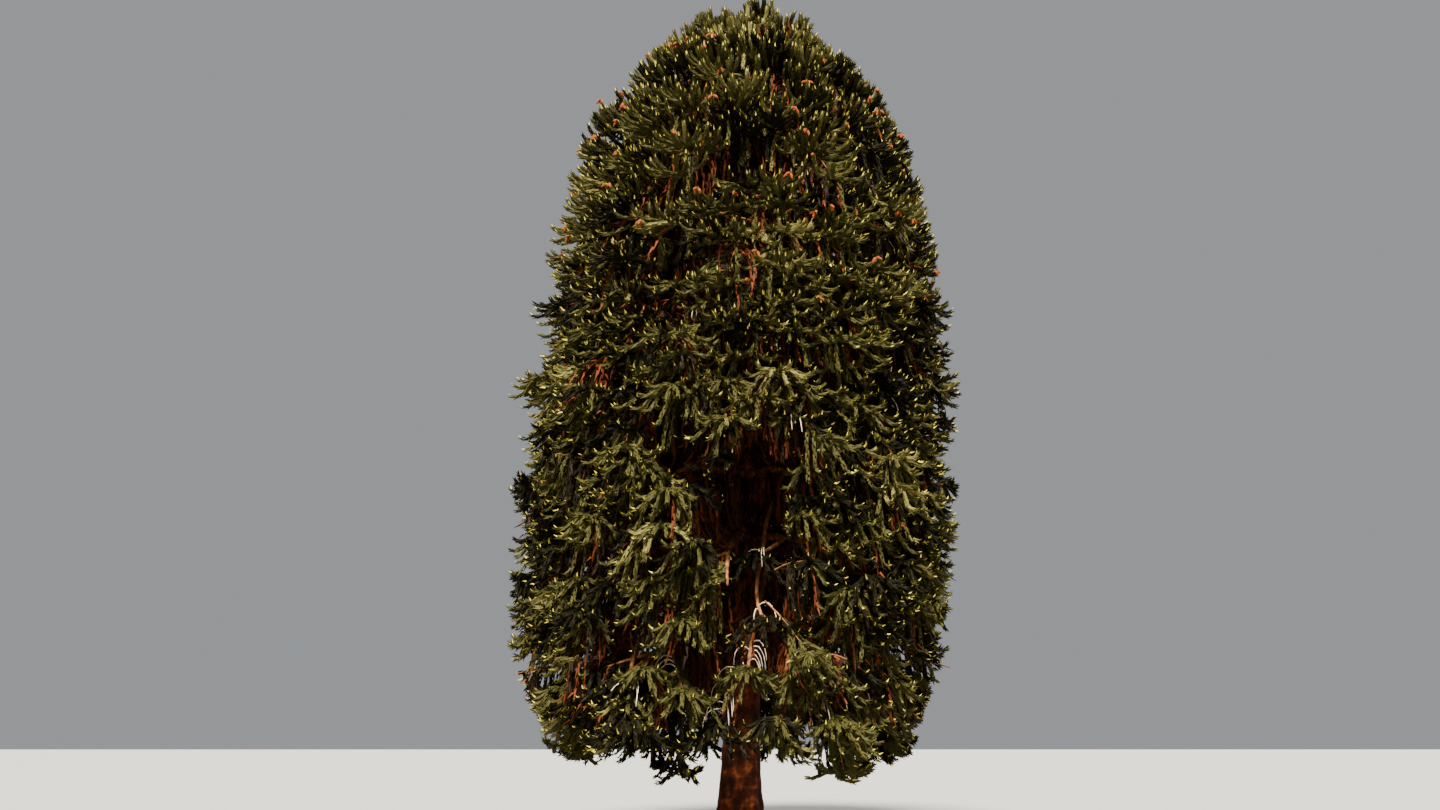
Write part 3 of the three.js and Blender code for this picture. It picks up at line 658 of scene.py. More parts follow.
def bud_places(axes, spacing, random):
    """Where the shoots of every limb start, and the turn in degrees at which they leave it. Two
    alternate rows stand a spacing apart along the limb, and turn from wide to narrow. Each row has its
    own habit, six numbers from -1 to 1 that all its shoots share, so that they hang in even combs. A
    rosette all round the tip follows, from its old shoots at level 0 to its tuft at level 1. Last come
    dead shoots at random all round the limb. Only a rosette's shoots have a level from 0 up."""
    grown = []
    for axis in axes:
        length = along(axis["path"], np.array([0.0]))[2]
        begins = min(axis["first"], LATEST_ROWS)
        count = max(int(length * (HEAD_FROM - begins) * 2 / spacing), LEAST_ROW)
        place = mix(begins, HEAD_FROM, (np.arange(count) + random.uniform(*ROW_JITTER, count)) / count)
        side = np.where(np.arange(count) % 2 == 0, 1.0, -1.0)
        habit = random.uniform(-1, 1, (2, 6))[(side > 0).astype(int)]
        turn = (mix(*ROW_TURNS, place**ROW_TURN_POWER) + habit[:, 0] * ROW_TURN_PLAY) * side
        kind = row_kinds(axis, place, side, random)
        heads = HEAD_SHOOTS[axis["kind"]]
        level = (np.arange(heads) + 0.5) / heads
        around = ((np.arange(heads) * GOLDEN_TURN + random.uniform(0, 360)) % 360 - 180) * HEAD_TURN / 180
        extra = int(length * INNER_SHOOTS[axis["kind"]] * (axis["tier"] < TOP_TIER))
        inner = random.uniform(*INNER_STRETCH, extra)
        place = np.concatenate([place, mix(HEAD_FROM, HEAD_TO, level**HEAD_CROWDING), inner])
        total = len(place)
        points, run, _ = along(axis["path"], place)
        grown.append({
            "start": points,
            "run": run,
            "place": place,
            "turn": np.concatenate([turn, around, random.uniform(-180, 180, extra)]),
            "habit": np.concatenate([habit, random.uniform(-1, 1, (heads + extra, 6))]),
            "kind": np.concatenate([kind, np.full(heads, LIVING), np.full(extra, DEAD)]),
            "level": np.concatenate([np.full(count, -1.0), level, np.full(extra, -1.0)]),
            "mass": np.full(total, axis["mass"]),
            "free": np.full(total, axis["kind"] == "front"),
            "reach": np.full(total, reach_of(axis)),
            "shade": np.full(total, random.uniform()),
        })
    return {name: np.concatenate([part[name] for part in grown]) for name in grown[0]}


def shoot_paths(start, heading, bend, length, slopes):
    """Points of many shoots at once. The slope eases from slopes[0] to slopes[1] by half way and to
    slopes[2] at the tip, where slopes[3] is added over the last quarter. The heading turns by bend."""
    t = (np.arange(SHOOT_STEPS) + 0.5) / SHOOT_STEPS
    first, middle, last, hook = (slopes[:, k, None] for k in range(4))
    slope = mix(first, middle, ease(2 * t)) + (last - middle) * ease(2 * t - 1) + hook * ease(4 * t - 3)
    turned = heading[:, None] + bend[:, None] * t
    moves = np.stack([np.cos(slope) * np.cos(turned), np.cos(slope) * np.sin(turned), np.sin(slope)], axis=-1)
    moves *= length[:, None, None] / SHOOT_STEPS
    path = np.concatenate([np.zeros_like(moves[:, :1]), np.cumsum(moves, axis=1)], axis=1)
    return start[:, None] + path


def keeps_in(points, tier, azimuth, half, reach, free):
    """True where points lie inside the crown's curve, as it is drawn in and out, above its lower edge and
    off the trunk, and in the space of their mass or a little past its walls. Free ones, on the front
    limbs, needn't keep to their mass or out of the opening. A tier's only mass has no side walls."""
    x, y, z = points[..., 0], points[..., 1], points[..., 2]
    q, angle, r = crown_share(points)
    away = np.abs(np.arctan2(np.sin(angle - azimuth), np.cos(angle - azimuth)))
    by_trunk = mix(LOWEST_BY_TRUNK, LOWEST_TIP, ease((q - BY_TRUNK) / BY_TRUNK_EASE))
    lowest = np.where(free, LOWEST_TIP, by_trunk)
    before_trunk = (y < 0) & (np.abs(x - FRONT_ARCH_X) < FRONT_ARCH_HALF)
    lowest = np.where(before_trunk & ~free, np.maximum(lowest, FRONT_ARCH_TOP), lowest)
    skirt_reach = SKIRT_REACH + SKIRT_MORE_RIGHT * np.cos(angle)
    edge = narrowing(angle, z) * mix(skirt_reach, 1, ease((z - LOWEST_TIP) / SKIRT_REACH_HEIGHT))
    fuller = np.maximum(-np.cos(angle), 0) * ease((z - LEFT_FULLER_FROM) / LEFT_FULLER_RISE)
    edge *= 1 + LEFT_FULLER * fuller
    inside = (q < reach * edge) & (z > lowest) & (z < HIGHEST_TIP) & (x > CROWN_LEFT)
    inside &= (away * r < half * r + SIDE_OVERLAP) | (half == np.pi) | free
    inside &= (z > floor_of(tier, q) - LEVEL_OVERLAP) | free
    inside &= (z < ceiling(tier, q) + LEVEL_OVERLAP) | free
    inside &= ~in_window(points) | free
    from_trunk = np.hypot(x - lean_at(z), y)
    return inside & ((from_trunk > trunk_radius(z) + TRUNK_CLEAR) | (z > TRUNK_TOP))


def shoot_habits(buds, tier, lengths, random):
    """Slopes, hang, length and turn to the open of every shoot. Those in rows hang down as a curtain low
    in the crown, and sag outward like fingers higher up. Those of a rosette arch over and hang, or rise
    in a tuft, and near the ground they fan out. Near the crown's top all of them rise."""
    kind = buds["kind"]
    level = np.maximum(buds["level"], 0)
    in_head = buds["level"] >= 0
    height = buds["start"][:, 2]
    rise = (tier / TOP_TIER) ** RISE_POWER
    hang = np.minimum(HANGS[tier] / ROW_HANG_FULL, 1)
    hang = hang * (1 - HANG_LOSS * ease((buds["place"] - HANG_LOSS_FROM) / HANG_LOSS_EASE))
    hang *= ease((height - LOWEST_TIP) / HANG_HEIGHT)
    hang = np.where(in_head, (1 - level) * (1 - rise), hang)
    under = ~in_head & (tier >= UNDER_FROM) & (random.uniform(size=len(tier)) < UNDER_SHARE)
    hang[under | (kind == DEAD)] = 1
    rows = mix(mix(FINGER_SLOPES, TOP_OLD_SLOPES, rise[:, None]), HANGING_SLOPES, hang[:, None])
    rows += ((tier >= UNDER_FROM) & ~under & ~in_head)[:, None] * OVER_GAIN
    head = mix(HEAD_OLD_SLOPES, HEAD_TUFT_SLOPES, level[:, None])
    top = mix(TOP_OLD_SLOPES, TOP_TUFT_SLOPES, level[:, None])
    slopes = np.where(in_head[:, None], mix(head, top, rise[:, None]), rows)
    fan = in_head * (1 - ease((height - FAN_FULL) / (FAN_BELOW - FAN_FULL)))
    slopes += fan[:, None] * FAN_GAIN
    slopes[kind == BARE] = BARE_SLOPES
    inner = (kind == DEAD) & (crown_share(buds["start"])[0] < INNER_RISING_WITHIN)
    slopes[inner & (random.uniform(size=len(tier)) < INNER_RISING_SHARE)] = INNER_RISING_SLOPES
    slopes += buds["habit"][:, 1:5] * SLOPE_PLAY
    in_head_length = mix(mix(*HEAD_LENGTHS, level), mix(*TOP_HEAD_LENGTHS, level), rise)
    length = np.where(in_head, in_head_length, mix(*ROW_LENGTHS, hang))
    length *= mix(*lengths, 0.5 + 0.5 * buds["habit"][:, 5])
    length[kind == BARE] = BARE_LENGTH
    turn_out = np.where(in_head, mix(HEAD_TURN_OUT, ROW_TURN_OUT, rise), ROW_TURN_OUT)
    return slopes, hang, length, turn_out


def grow_shoots(masses, buds, lengths, random):
    """Every shoot that finds room. It leaves its twig by its row's turn and bends on its way towards the
    open. One that would leave its mass's space is tried again, with more play and shorter, and left out
    after the last try. Dead ones low down are left out too."""
    tier, azimuth, half, limit = (np.array([mass[key] for mass in masses])[buds["mass"]]
                                  for key in ("tier", "azimuth", "half", "reach"))
    reach = np.minimum(limit + buds["free"], buds["reach"])
    slopes, hang, length, turn_out = shoot_habits(buds, tier, lengths, random)
    run = np.arctan2(buds["run"][:, 1], buds["run"][:, 0])
    outward = crown_share(buds["start"])[1]
    count = len(tier)
    paths = np.zeros((count, SHOOT_STEPS + 1, 3))
    heading = np.zeros(count)
    bend = np.zeros(count)
    left = np.arange(count)
    for late in np.arange(SHOOT_TRIES) / (SHOOT_TRIES - 1):
        n = len(left)
        play = mix(*SHOOT_PLAY, late**PLAY_POWER)
        angle = run[left] + np.radians(buds["turn"][left] + random.normal(0, play, n))
        aside = outward[left] - angle
        curl = turn_out[left] * np.arctan2(np.sin(aside), np.cos(aside))
        curl += np.radians(random.normal(0, CURL_PLAY, n))
        tilt = np.clip(slopes[left] + random.normal(0, play, (n, 4)), -STEEPEST, STEEPEST)
        long = random.uniform(*LENGTH_PLAY, n) * length[left] * mix(1, LAST_TRY_LENGTH, late)
        path = shoot_paths(buds["start"][left], angle, curl, long, np.radians(tilt))
        fits = keeps_in(path[:, TESTED], tier[left, None], azimuth[left, None], half[left, None],
                        reach[left, None], buds["free"][left, None]).all(axis=1)
        kept = left[fits]
        paths[kept] = path[fits]
        heading[kept] = angle[fits]
        bend[kept] = curl[fits]
        left = left[~fits]
    grown = (buds["kind"] != DEAD) | (paths[..., 2].min(axis=1) > DEAD_LOWEST)
    grown[left] = False
    return {"path": paths[grown], "heading": heading[grown], "bend": bend[grown], "tier": tier[grown],
            "hang": hang[grown], "kind": buds["kind"][grown], "shade": buds["shade"][grown]}


def shoot_leaves(path, heading, bend, count, sizes, phase):
    """Leaves in a spiral up each shoot, as four corners and two faces each. A leaf's broad base wraps
    round the axis, its keel stands out from it, and its sharp tip leans forward and away. Towards the
    shoot's tip they close up into a bud."""
    length, width, base, spread = sizes
    share = (np.arange(count) + 0.5) / count
    at = share * LEAVES_END * SHOOT_STEPS
    k = np.minimum(at.astype(int), SHOOT_STEPS - 1)
    w = (at - k)[None, :, None]
    foot = path[:, k] * (1 - w) + path[:, k + 1] * w
    ahead = unit(path[:, k + 1] - path[:, k])
    turned = heading[:, None] + bend[:, None] * share
    side = np.stack([-np.sin(turned), np.cos(turned), np.zeros_like(turned)], axis=-1)
    over = np.cross(ahead, side)
    angle = phase[:, None] + np.arange(count) * np.radians(GOLDEN_TURN)
    closing = ease((share - BUD_FROM) / (1 - BUD_FROM))[None, :, None]
    radius = base * (1 - BUD_CLOSING * closing)
    stand = mix(spread, spread * BUD_SPREAD, closing)
    tilt = width / (2 * base)

    def out(turn):
        """The direction that stands out of the axis at a turn round it."""
        return np.cos(turn)[..., None] * side + np.sin(turn)[..., None] * over

    left = foot + out(angle - tilt) * radius
    right = foot + out(angle + tilt) * radius
    keel = foot + out(angle) * radius * KEEL_OUT - ahead * length * KEEL_BACK
    tip = foot + out(angle) * stand + ahead * length * (1 - BUD_CLOSING * closing)
    vertices = np.stack([left, keel, right, tip], axis=2).reshape(-1, 3)
    first = np.arange(len(vertices) // 4)[:, None] * 4
    faces = np.concatenate([first + [0, 1, 3], first + [1, 2, 3]], axis=1).reshape(-1, 3)
    return vertices, faces


def ring_faces(rings, sides):
    """Two triangles for each side between each ring of corners and the next."""
    ring, corner = np.meshgrid(np.arange(rings - 1), np.arange(sides), indexing="ij")
    a = ring * sides + corner
    b = ring * sides + (corner + 1) % sides
    return np.stack([a, b, b + sides, a, b + sides, a + sides], axis=-1).reshape(-1, 3)


def tubes(paths, radii, sides):
    """Round limbs along many paths: rings of sides corners at radii, their first corner level, and a
    point that closes each tip. The radii are one for each ring, or one for each corner."""
    count, rings, _ = paths.shape
    run = paths[:, -1] - paths[:, 0]
    level = np.stack([-run[:, 1], run[:, 0], np.zeros(count)], axis=-1)
    level[np.hypot(run[:, 0], run[:, 1]) < 1e-3] = [1, 0, 0]
    ahead = unit(np.gradient(paths, axis=1))
    side = unit(level)[:, None] - ahead * np.sum(unit(level)[:, None] * ahead, axis=-1, keepdims=True)
    side = unit(side)
    over = np.cross(ahead, side)
    angle = np.arange(sides) * 2 * np.pi / sides
    around = np.cos(angle)[:, None] * side[:, :, None] + np.sin(angle)[:, None] * over[:, :, None]
    radii = np.broadcast_to(radii if radii.ndim == 3 else radii[:, :, None], (count, rings, sides))
    rows = paths[:, :, None] + around * radii[..., None]
    tips = paths[:, -1] + ahead[:, -1] * TUBE_CAP * radii[:, -1, :1]
    vertices = np.concatenate([rows.reshape(count, -1, 3), tips[:, None]], axis=1)
    last = (rings - 1) * sides + np.arange(sides)
    cap = np.stack([last, np.roll(last, -1), np.full(sides, rings * sides)], axis=-1)
    faces = np.concatenate([ring_faces(rings, sides), cap])
    offset = np.arange(count)[:, None, None] * (rings * sides + 1)
    return vertices.reshape(-1, 3), (faces[None] + offset).reshape(-1, 3)


def rough(u, v, cells, seed):
    """Value noise from -1 to 1: random heights on a grid of cells that wraps in u, eased between."""
    across, up = cells
    heights = np.random.default_rng(seed).uniform(-1, 1, (across, up + 2))
    x = (u % 1) * across
    y = np.clip(v, 0, 1) * up
    i = x.astype(int)
    j = y.astype(int)
    fx = ease(x - i)
    fy = ease(y - j)
    i %= across
    near = mix(heights[i, j], heights[(i + 1) % across, j], fx)
    far = mix(heights[i, j + 1], heights[(i + 1) % across, j + 1], fx)
    return mix(near, far, fy)


def linear(code):
    """An sRGB hex colour as linear red, green, blue and alpha."""
    channels = [int(code[k : k + 2], 16) / 255 for k in (1, 3, 5)]
    return [c / 12.92 if c <= 0.04045 else ((c + 0.055) / 1.055) ** 2.4 for c in channels] + [1.0]


def add_node(material, kind, settings=None, values=None, links=None):
    """A new node with its settings, socket values and links. A link is (node, output name)."""
    node = material.node_tree.nodes.new(kind)
    for name, value in (settings or {}).items():
        setattr(node, name, value)
    for name, value in (values or {}).items():
        node.inputs[name].default_value = value
    for name, (source, output) in (links or {}).items():
        material.node_tree.links.new(source.outputs[output], node.inputs[name])
    return node


def new_material(name, roughness, specular):
    """An empty material with its shader, which other nodes are linked into."""
    material = bpy.data.materials.new(name)
    material.use_nodes = True
    shader = material.node_tree.nodes["Principled BSDF"]
    shader.inputs["Roughness"].default_value = roughness
    shader.inputs["Specular IOR Level"].default_value = specular
    return material, shader


def colour_ramp(material, factor, stops):
    """A ramp over a factor, its stops as (place, sRGB hex)."""
    ramp = add_node(material, "ShaderNodeValToRGB", links={"Fac": factor})
    while len(ramp.color_ramp.elements) < len(stops):
        ramp.color_ramp.elements.new(0.5)
    for element, (place, code) in zip(ramp.color_ramp.elements, stops):
        element.position = place
        element.color = linear(code)
    return ramp


def bark_material(name, stops, plate, roughness=0.95, depth=0.012):
    """Bark: a base colour that runs from its furrows to its worn plates, by the relief stored on the
    mesh and by noise, with cracks between plates and a fine grain in the bump. The near black of the
    furrows is partly the bark's own colour and partly painted shade. plate is the real size of a plate
    in metres, and the mottling and the grain are parts of it. It looks rough and quite dull."""
    material, shader = new_material(name, roughness, 0.2)
    place = (add_node(material, "ShaderNodeTexCoord"), "Object")
    stretched = add_node(material, "ShaderNodeMapping", values={"Scale": (1, 1, 0.55)},
                         links={"Vector": place})
    mottle = add_node(material, "ShaderNodeTexNoise", values={"Scale": 0.35 / plate, "Detail": 5.0},
                      links={"Vector": (stretched, "Vector")})
    # The stored relief darkens the colour in the furrows and scars: partly the bark's own colour, partly
    # painted shade.
    relief = add_node(material, "ShaderNodeAttribute", {"attribute_name": "relief"})
    both = add_node(material, "ShaderNodeMath", {"operation": "MULTIPLY_ADD"}, {1: 0.55},
                    {0: (relief, "Fac"), 2: (mottle, "Fac")})
    ramp = colour_ramp(material, (both, "Value"), stops)
    cracks = add_node(material, "ShaderNodeTexVoronoi", {"feature": "DISTANCE_TO_EDGE"},
                      {"Scale": 1 / plate}, {"Vector": (stretched, "Vector")})
    grain = add_node(material, "ShaderNodeTexNoise", values={"Scale": 8 / plate, "Detail": 4.0},
                     links={"Vector": place})
    plates = add_node(material, "ShaderNodeBump", values={"Strength": 0.8, "Distance": depth},
                      links={"Height": (cracks, "Distance")})
    fine = add_node(material, "ShaderNodeBump", values={"Strength": 0.5, "Distance": depth / 4},
                    links={"Height": (grain, "Fac"), "Normal": (plates, "Normal")})
    links = material.node_tree.links
    links.new(ramp.outputs["Color"], shader.inputs["Base Color"])
    links.new(fine.outputs["Normal"], shader.inputs["Normal"])
    return material


def leaf_material(name, code, roughness=0.55, specular=0.02):
    """A leathery leaf with a thin wax: one plain base colour, and a roughness and a bump that a fine
    noise breaks up, so that the light doesn't lie evenly on it. Dry leaves, bare wood and papery cone
    scales are the same with less gloss."""
    material, shader = new_material(name, roughness, specular)
    shader.inputs["Base Color"].default_value = linear(code)
    place = add_node(material, "ShaderNodeTexCoord")
    veins = add_node(material, "ShaderNodeTexNoise", values={"Scale": 1 / LEAF_GRAIN, "Detail": 2.0},
                     links={"Vector": (place, "Object")})
    bump = add_node(material, "ShaderNodeBump", values={"Strength": 0.4, "Distance": 0.003},
                    links={"Height": (veins, "Fac")})
    rougher = add_node(material, "ShaderNodeMapRange", links={"Value": (veins, "Fac")},
                       values={"To Min": roughness - 0.12, "To Max": roughness + 0.12})
    links = material.node_tree.links
    links.new(rougher.outputs["Result"], shader.inputs["Roughness"])
    links.new(bump.outputs["Normal"], shader.inputs["Normal"])
    return material


def put_mesh(name, vertices, faces, materials, kinds=None, smooth=False, relief=None):
    """A new object at the origin from arrays of corners and of triangles, with a material number for
    each face and a relief value for each corner where they are given."""
    mesh = bpy.data.meshes.new(name)
    mesh.vertices.add(len(vertices))
    mesh.vertices.foreach_set("co", np.asarray(vertices, np.float32).ravel())
    mesh.loops.add(faces.size)
    mesh.loops.foreach_set("vertex_index", faces.astype(np.int32).ravel())
    mesh.polygons.add(len(faces))
    mesh.polygons.foreach_set("loop_start", np.arange(0, faces.size, 3, dtype=np.int32))
    for material in materials:
        mesh.materials.append(material)
    if kinds is not None:
        mesh.polygons.foreach_set("material_index", kinds.astype(np.int32))
    mesh.polygons.foreach_set("use_smooth", np.full(len(faces), smooth))
    if relief is not None:
        stored = mesh.attributes.new("relief", "FLOAT", "POINT")
        stored.data.foreach_set("value", np.asarray(relief, np.float32).ravel())
    mesh.update(calc_edges=True)
    if mesh.validate():
        raise RuntimeError(f"{name} had faces that Blender had to mend")
    piece = bpy.data.objects.new(name, mesh)
    bpy.context.collection.objects.link(piece)
    return piece


def ride(piece, nodes=()):
    """Fixes a piece to the tree's body, in place of the nodes that it stands for."""
    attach(piece, BODY)
    if nodes:
        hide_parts(*nodes)
    return piece


class TreeSizes(bpy.types.PropertyGroup):
    """Sizes that the tree is grown to."""

    shoot_shortest: bpy.props.FloatProperty(
        name="Shortest shoot", description="Length of the shortest leafy shoots",
        default=0.72, min=0.2, unit="LENGTH")
    shoot_longest: bpy.props.FloatProperty(
        name="Longest shoot", description="Length of the longest leafy shoots",
        default=1.12, min=0.3, unit="LENGTH")
    shoot_spacing: bpy.props.FloatProperty(
        name="Shoot spacing", description="Distance between two shoots on one side of a twig",
        default=0.13, min=0.03, unit="LENGTH")
    leaves: bpy.props.IntProperty(
        name="Leaves", description="Leaves drawn on each living shoot", default=26, min=8)
    dead_leaves: bpy.props.IntProperty(
        name="Dead leaves", description="Leaves drawn on each dead shoot", default=8, min=4)
    leaf_length: bpy.props.FloatProperty(
        name="Leaf length", description="Length of a leaf, larger than life", default=0.12, unit="LENGTH")
    leaf_width: bpy.props.FloatProperty(
        name="Leaf width", description="Width of a leaf's base", default=0.074, unit="LENGTH")
    leaf_base: bpy.props.FloatProperty(
        name="Shoot core", description="Radius that the leaves' bases stand at", default=0.027,
        unit="LENGTH")
    leaf_spread: bpy.props.FloatProperty(
        name="Leaf spread", description="Radius that the leaves' tips reach", default=0.034, unit="LENGTH")
    cone_length: bpy.props.FloatProperty(
        name="Cone length", description="Length of a pollen cone", default=0.125, unit="LENGTH")
    cone_width: bpy.props.FloatProperty(
        name="Cone width", description="Width of a pollen cone", default=0.042, unit="LENGTH")
    cone_share: bpy.props.FloatProperty(
        name="Coned shoots", description="Share of the upper crown's outer shoots that bear cones",
        default=0.034, min=0, max=1)
    bark_relief: bpy.props.FloatProperty(
        name="Bark relief", description="How far the trunk's plates stand out of its furrows",
        default=0.022, unit="LENGTH")


class TreeColours(bpy.types.PropertyGroup):
    """Colours that the tree is finished in, as sRGB hex values."""

    dark: bpy.props.StringProperty(name="Old leaves and painted shade", description="Darkest shoots", default="#151309")
    middle: bpy.props.StringProperty(name="Leaves", description="Most shoots", default="#3a371b")
    light: bpy.props.StringProperty(name="Young leaves and painted sunlight", description="Lightest shoots", default="#625c32")
    tip: bpy.props.StringProperty(name="Tips", description="New growth at the tips", default="#c4b84e")
    dead: bpy.props.StringProperty(name="Dead leaves", description="Dead shoots", default="#582a12")
    long_dead: bpy.props.StringProperty(name="Old dead leaves", description="Shoots long dead",
                                        default="#1e130a")
    bleached: bpy.props.StringProperty(name="Bleached wood", description="Bare dead twigs",
                                       default="#c6b59c")
    cone: bpy.props.StringProperty(name="Pollen cones", description="Cones at the tips", default="#7c3b17")


class TreeStage(bpy.types.PropertyGroup):
    """The floor, the light and the camera."""

    floor: bpy.props.StringProperty(name="Floor", description="Colour of the floor", default="#94928d")
    key: bpy.props.FloatProperty(name="Key light", description="Strength of the soft key", default=21.5)
    fill: bpy.props.FloatProperty(name="Fill light", description="Strength of the fill from behind",
                                  default=4.0)
    sky: bpy.props.FloatProperty(name="Surroundings", description="Strength of the pale surroundings",
                                 default=0.4)
    distance: bpy.props.FloatProperty(name="Camera distance", description="From the trunk to the camera",
                                      default=24.1, unit="LENGTH")
    height: bpy.props.FloatProperty(name="Camera height", description="Height of the camera", default=1.6,
                                    unit="LENGTH")
    pitch: bpy.props.FloatProperty(name="Camera pitch", description="How far the camera looks up",
                                   default=math.radians(13.3), subtype="ANGLE")


def node_names(tier, key="name"):
    """The nodes of one tier."""
    return [mass[key] for mass in MASSES if TIERS[mass["tier"]]["name"] == tier and mass[key]]


def all_axes():
    """The tree's limbs and twigs, the same on every call."""
    return grow_axes(MASSES, np.random.default_rng(SEED))


def all_shoots(sizes):
    """The tree's shoots, the same on every call, each with three numbers from 0 to 1 of its own."""
    random = np.random.default_rng(SHOOT_SEED)
    buds = bud_places(all_axes(), sizes.shoot_spacing, random)
    shoots = grow_shoots(MASSES, buds, (sizes.shoot_shortest, sizes.shoot_longest), random)
    shoots["chance"] = random.uniform(0, 1, (3, len(shoots["tier"])))
    return shoots


def chosen(shoots, which):
    """Only the shoots for which which is true."""
    return {name: rows[:, which] if name == "chance" else rows[which] for name, rows in shoots.items()}


def leafy(shoots, count, leaf):
    """The leaves of some shoots, each spiral starting at its own angle."""
    return shoot_leaves(shoots["path"], shoots["heading"], shoots["bend"], count, leaf,
                        shoots["chance"][0] * 2 * np.pi)


def leaf_sizes(sizes):
    """A leaf's length and width, and the radii of its foot and its tip."""
    return np.array([sizes.leaf_length, sizes.leaf_width, sizes.leaf_base, sizes.leaf_spread])


class TREE_OT_trunk(bpy.types.Operator):
    """Grow the trunk, with its taper, lean, root flare and plated bark"""

    bl_idname = "puzzle_tree.trunk"
    bl_label = "Trunk"

    def execute(self, context):
        # The radius is the taper's, plus a flare that fades by e to the power of -z / height and has
        # ridges by a cosine round it, plus the bark's relief, which thins as the trunk does.
        angle = np.arange(TRUNK_SIDES) * 2 * np.pi / TRUNK_SIDES
        share = np.linspace(0, 1, TRUNK_RINGS)
        z = (TRUNK_TOP * share**RING_POWER)[:, None] * np.ones(TRUNK_SIDES)
        u = (angle / (2 * np.pi))[None] * np.ones((TRUNK_RINGS, 1))
        v = z / TRUNK_TOP
        wander = WANDER * rough(u, v, **BARK_WANDER)
        plates = 1 - np.abs(rough(u + wander, v, **BARK_PLATES))
        scars = 1 - np.abs(rough(u, v, **BARK_SCARS))
        plate_share, scar_share, grain_share = BARK_SHARES
        height = plate_share * plates**2 + scar_share * scars**2 + grain_share * rough(u, v, **BARK_GRAIN)
        ridge = 1 + FLARE_RIDGE_SHARE * np.cos(FLARE_RIDGES * angle)
        flare = FLARE_RADIUS * np.exp(-z / FLARE_HEIGHT) * ridge
        thin = trunk_radius(z) / TRUNK_RADIUS
        relief = context.scene.tree_sizes.bark_relief * thin * (height - BARK_LEVEL)
        r = trunk_radius(z) + flare + relief
        rows = np.stack([lean_at(z) + r * np.cos(angle), r * np.sin(angle), z], axis=-1)
        vertices = np.concatenate([rows.reshape(-1, 3), [on_trunk(0), on_trunk(TRUNK_TOP)]])
        first = np.arange(TRUNK_SIDES)
        last = (TRUNK_RINGS - 1) * TRUNK_SIDES + first
        foot = TRUNK_RINGS * TRUNK_SIDES
        bottom = np.stack([np.roll(first, -1), first, np.full(TRUNK_SIDES, foot)], axis=-1)
        top = np.stack([last, np.roll(last, -1), np.full(TRUNK_SIDES, foot + 1)], axis=-1)
        faces = np.concatenate([ring_faces(TRUNK_RINGS, TRUNK_SIDES), bottom, top])
        height = np.concatenate([height.ravel(), [TIP_RELIEF, TIP_RELIEF]])
        # Thick old bark in fissured plates: near black in its furrows, partly its own colour and partly
        # painted shade, red-brown, and paler where worn.
        bark = bark_material("Monkey puzzle trunk bark, plated", TRUNK_BARK, TRUNK_PLATE)
        ride(put_mesh("trunk_bark", vertices, faces, [bark], smooth=True, relief=height), ["trunk"])
        return {"FINISHED"}


def ringed_limb(axis, start, end):
    """Path, radii and relief of one limb from one share of it to another. The relief is rings of leaf
    scars about 45 mm apart, from the distance of a noise from 0, and a knotty noise."""
    share = np.linspace(start, end, LIMB_RINGS)
    u = (np.arange(LIMB_SIDES) / LIMB_SIDES)[None] * np.ones((LIMB_RINGS, 1))
    v = share[:, None] * np.ones(LIMB_SIDES)
    scars = np.abs(rough(u, v, LIMB_SCARS, axis["mass"] + LIMB_SEEDS[0]))
    knots = rough(u, v, LIMB_KNOTS, axis["mass"] + LIMB_SEEDS[1])
    height = LIMB_SHARES[0] * (1 - scars) + LIMB_SHARES[1] * knots
    radius = mix(*axis["radii"], share)[:, None] * (1 + LIMB_RELIEF * (height - LIMB_LEVEL))
    return along(axis["path"], share)[0], radius, height


class TREE_OT_limbs(bpy.types.Operator):
    """Grow the boughs, limbs and twigs, with the rings of scars that their bark shows"""

    bl_idname = "puzzle_tree.limbs"
    bl_label = "Boughs, limbs and twigs"

    def execute(self, context):
        # Younger bark, ringed by the scars of old leaves: browner and a little smoother than the
        # trunk's.
        bark = bark_material("Monkey puzzle limb bark, ringed", LIMB_BARK, LIMB_PLATE, 0.9, 0.006)
        axes = all_axes()
        stems = [axis for axis in axes if axis["kind"] == "stem" and axis["tier"] < TOP_TIER]
        boughs = [ringed_limb(axis, 0.0, BOUGH_END + BOUGH_OVERLAP) for axis in stems if axis["bough"]]
        limbs = [ringed_limb(axis, BOUGH_END if axis["bough"] else 0.0, 1.0) for axis in stems]
        bough_nodes = [node for tier in BOUGH_TIERS for node in node_names(tier, "bough")]
        for name, ringed, nodes in (("bough_bark", boughs, bough_nodes), ("limb_bark", limbs, ())):
            paths, radii, height = (np.stack(rows) for rows in zip(*ringed))
            vertices, faces = tubes(paths, radii, LIMB_SIDES)
            tips = np.full((len(height), 1), TIP_RELIEF)
            relief = np.concatenate([height.reshape(len(height), -1), tips], axis=1)
            piece = put_mesh(name, vertices, faces, [bark], smooth=True, relief=relief)
            ride(piece, nodes)
        for kind, (sides, rings) in TWIG_MESHES.items():
            twigs = [axis for axis in axes if axis["kind"] == kind]
            if kind == "twig":
                twigs += [axis for axis in axes if axis["kind"] == "stem" and axis["tier"] == TOP_TIER]
            share = np.linspace(0, 1, rings)
            paths = np.stack([along(axis["path"], share)[0] for axis in twigs])
            radii = np.stack([mix(*axis["radii"], share) for axis in twigs])
            vertices, faces = tubes(paths, radii, sides)
            relief = np.full(len(vertices), TWIG_RELIEF)
            ride(put_mesh(f"{kind}_bark", vertices, faces, [bark], smooth=True, relief=relief))
        return {"FINISHED"}


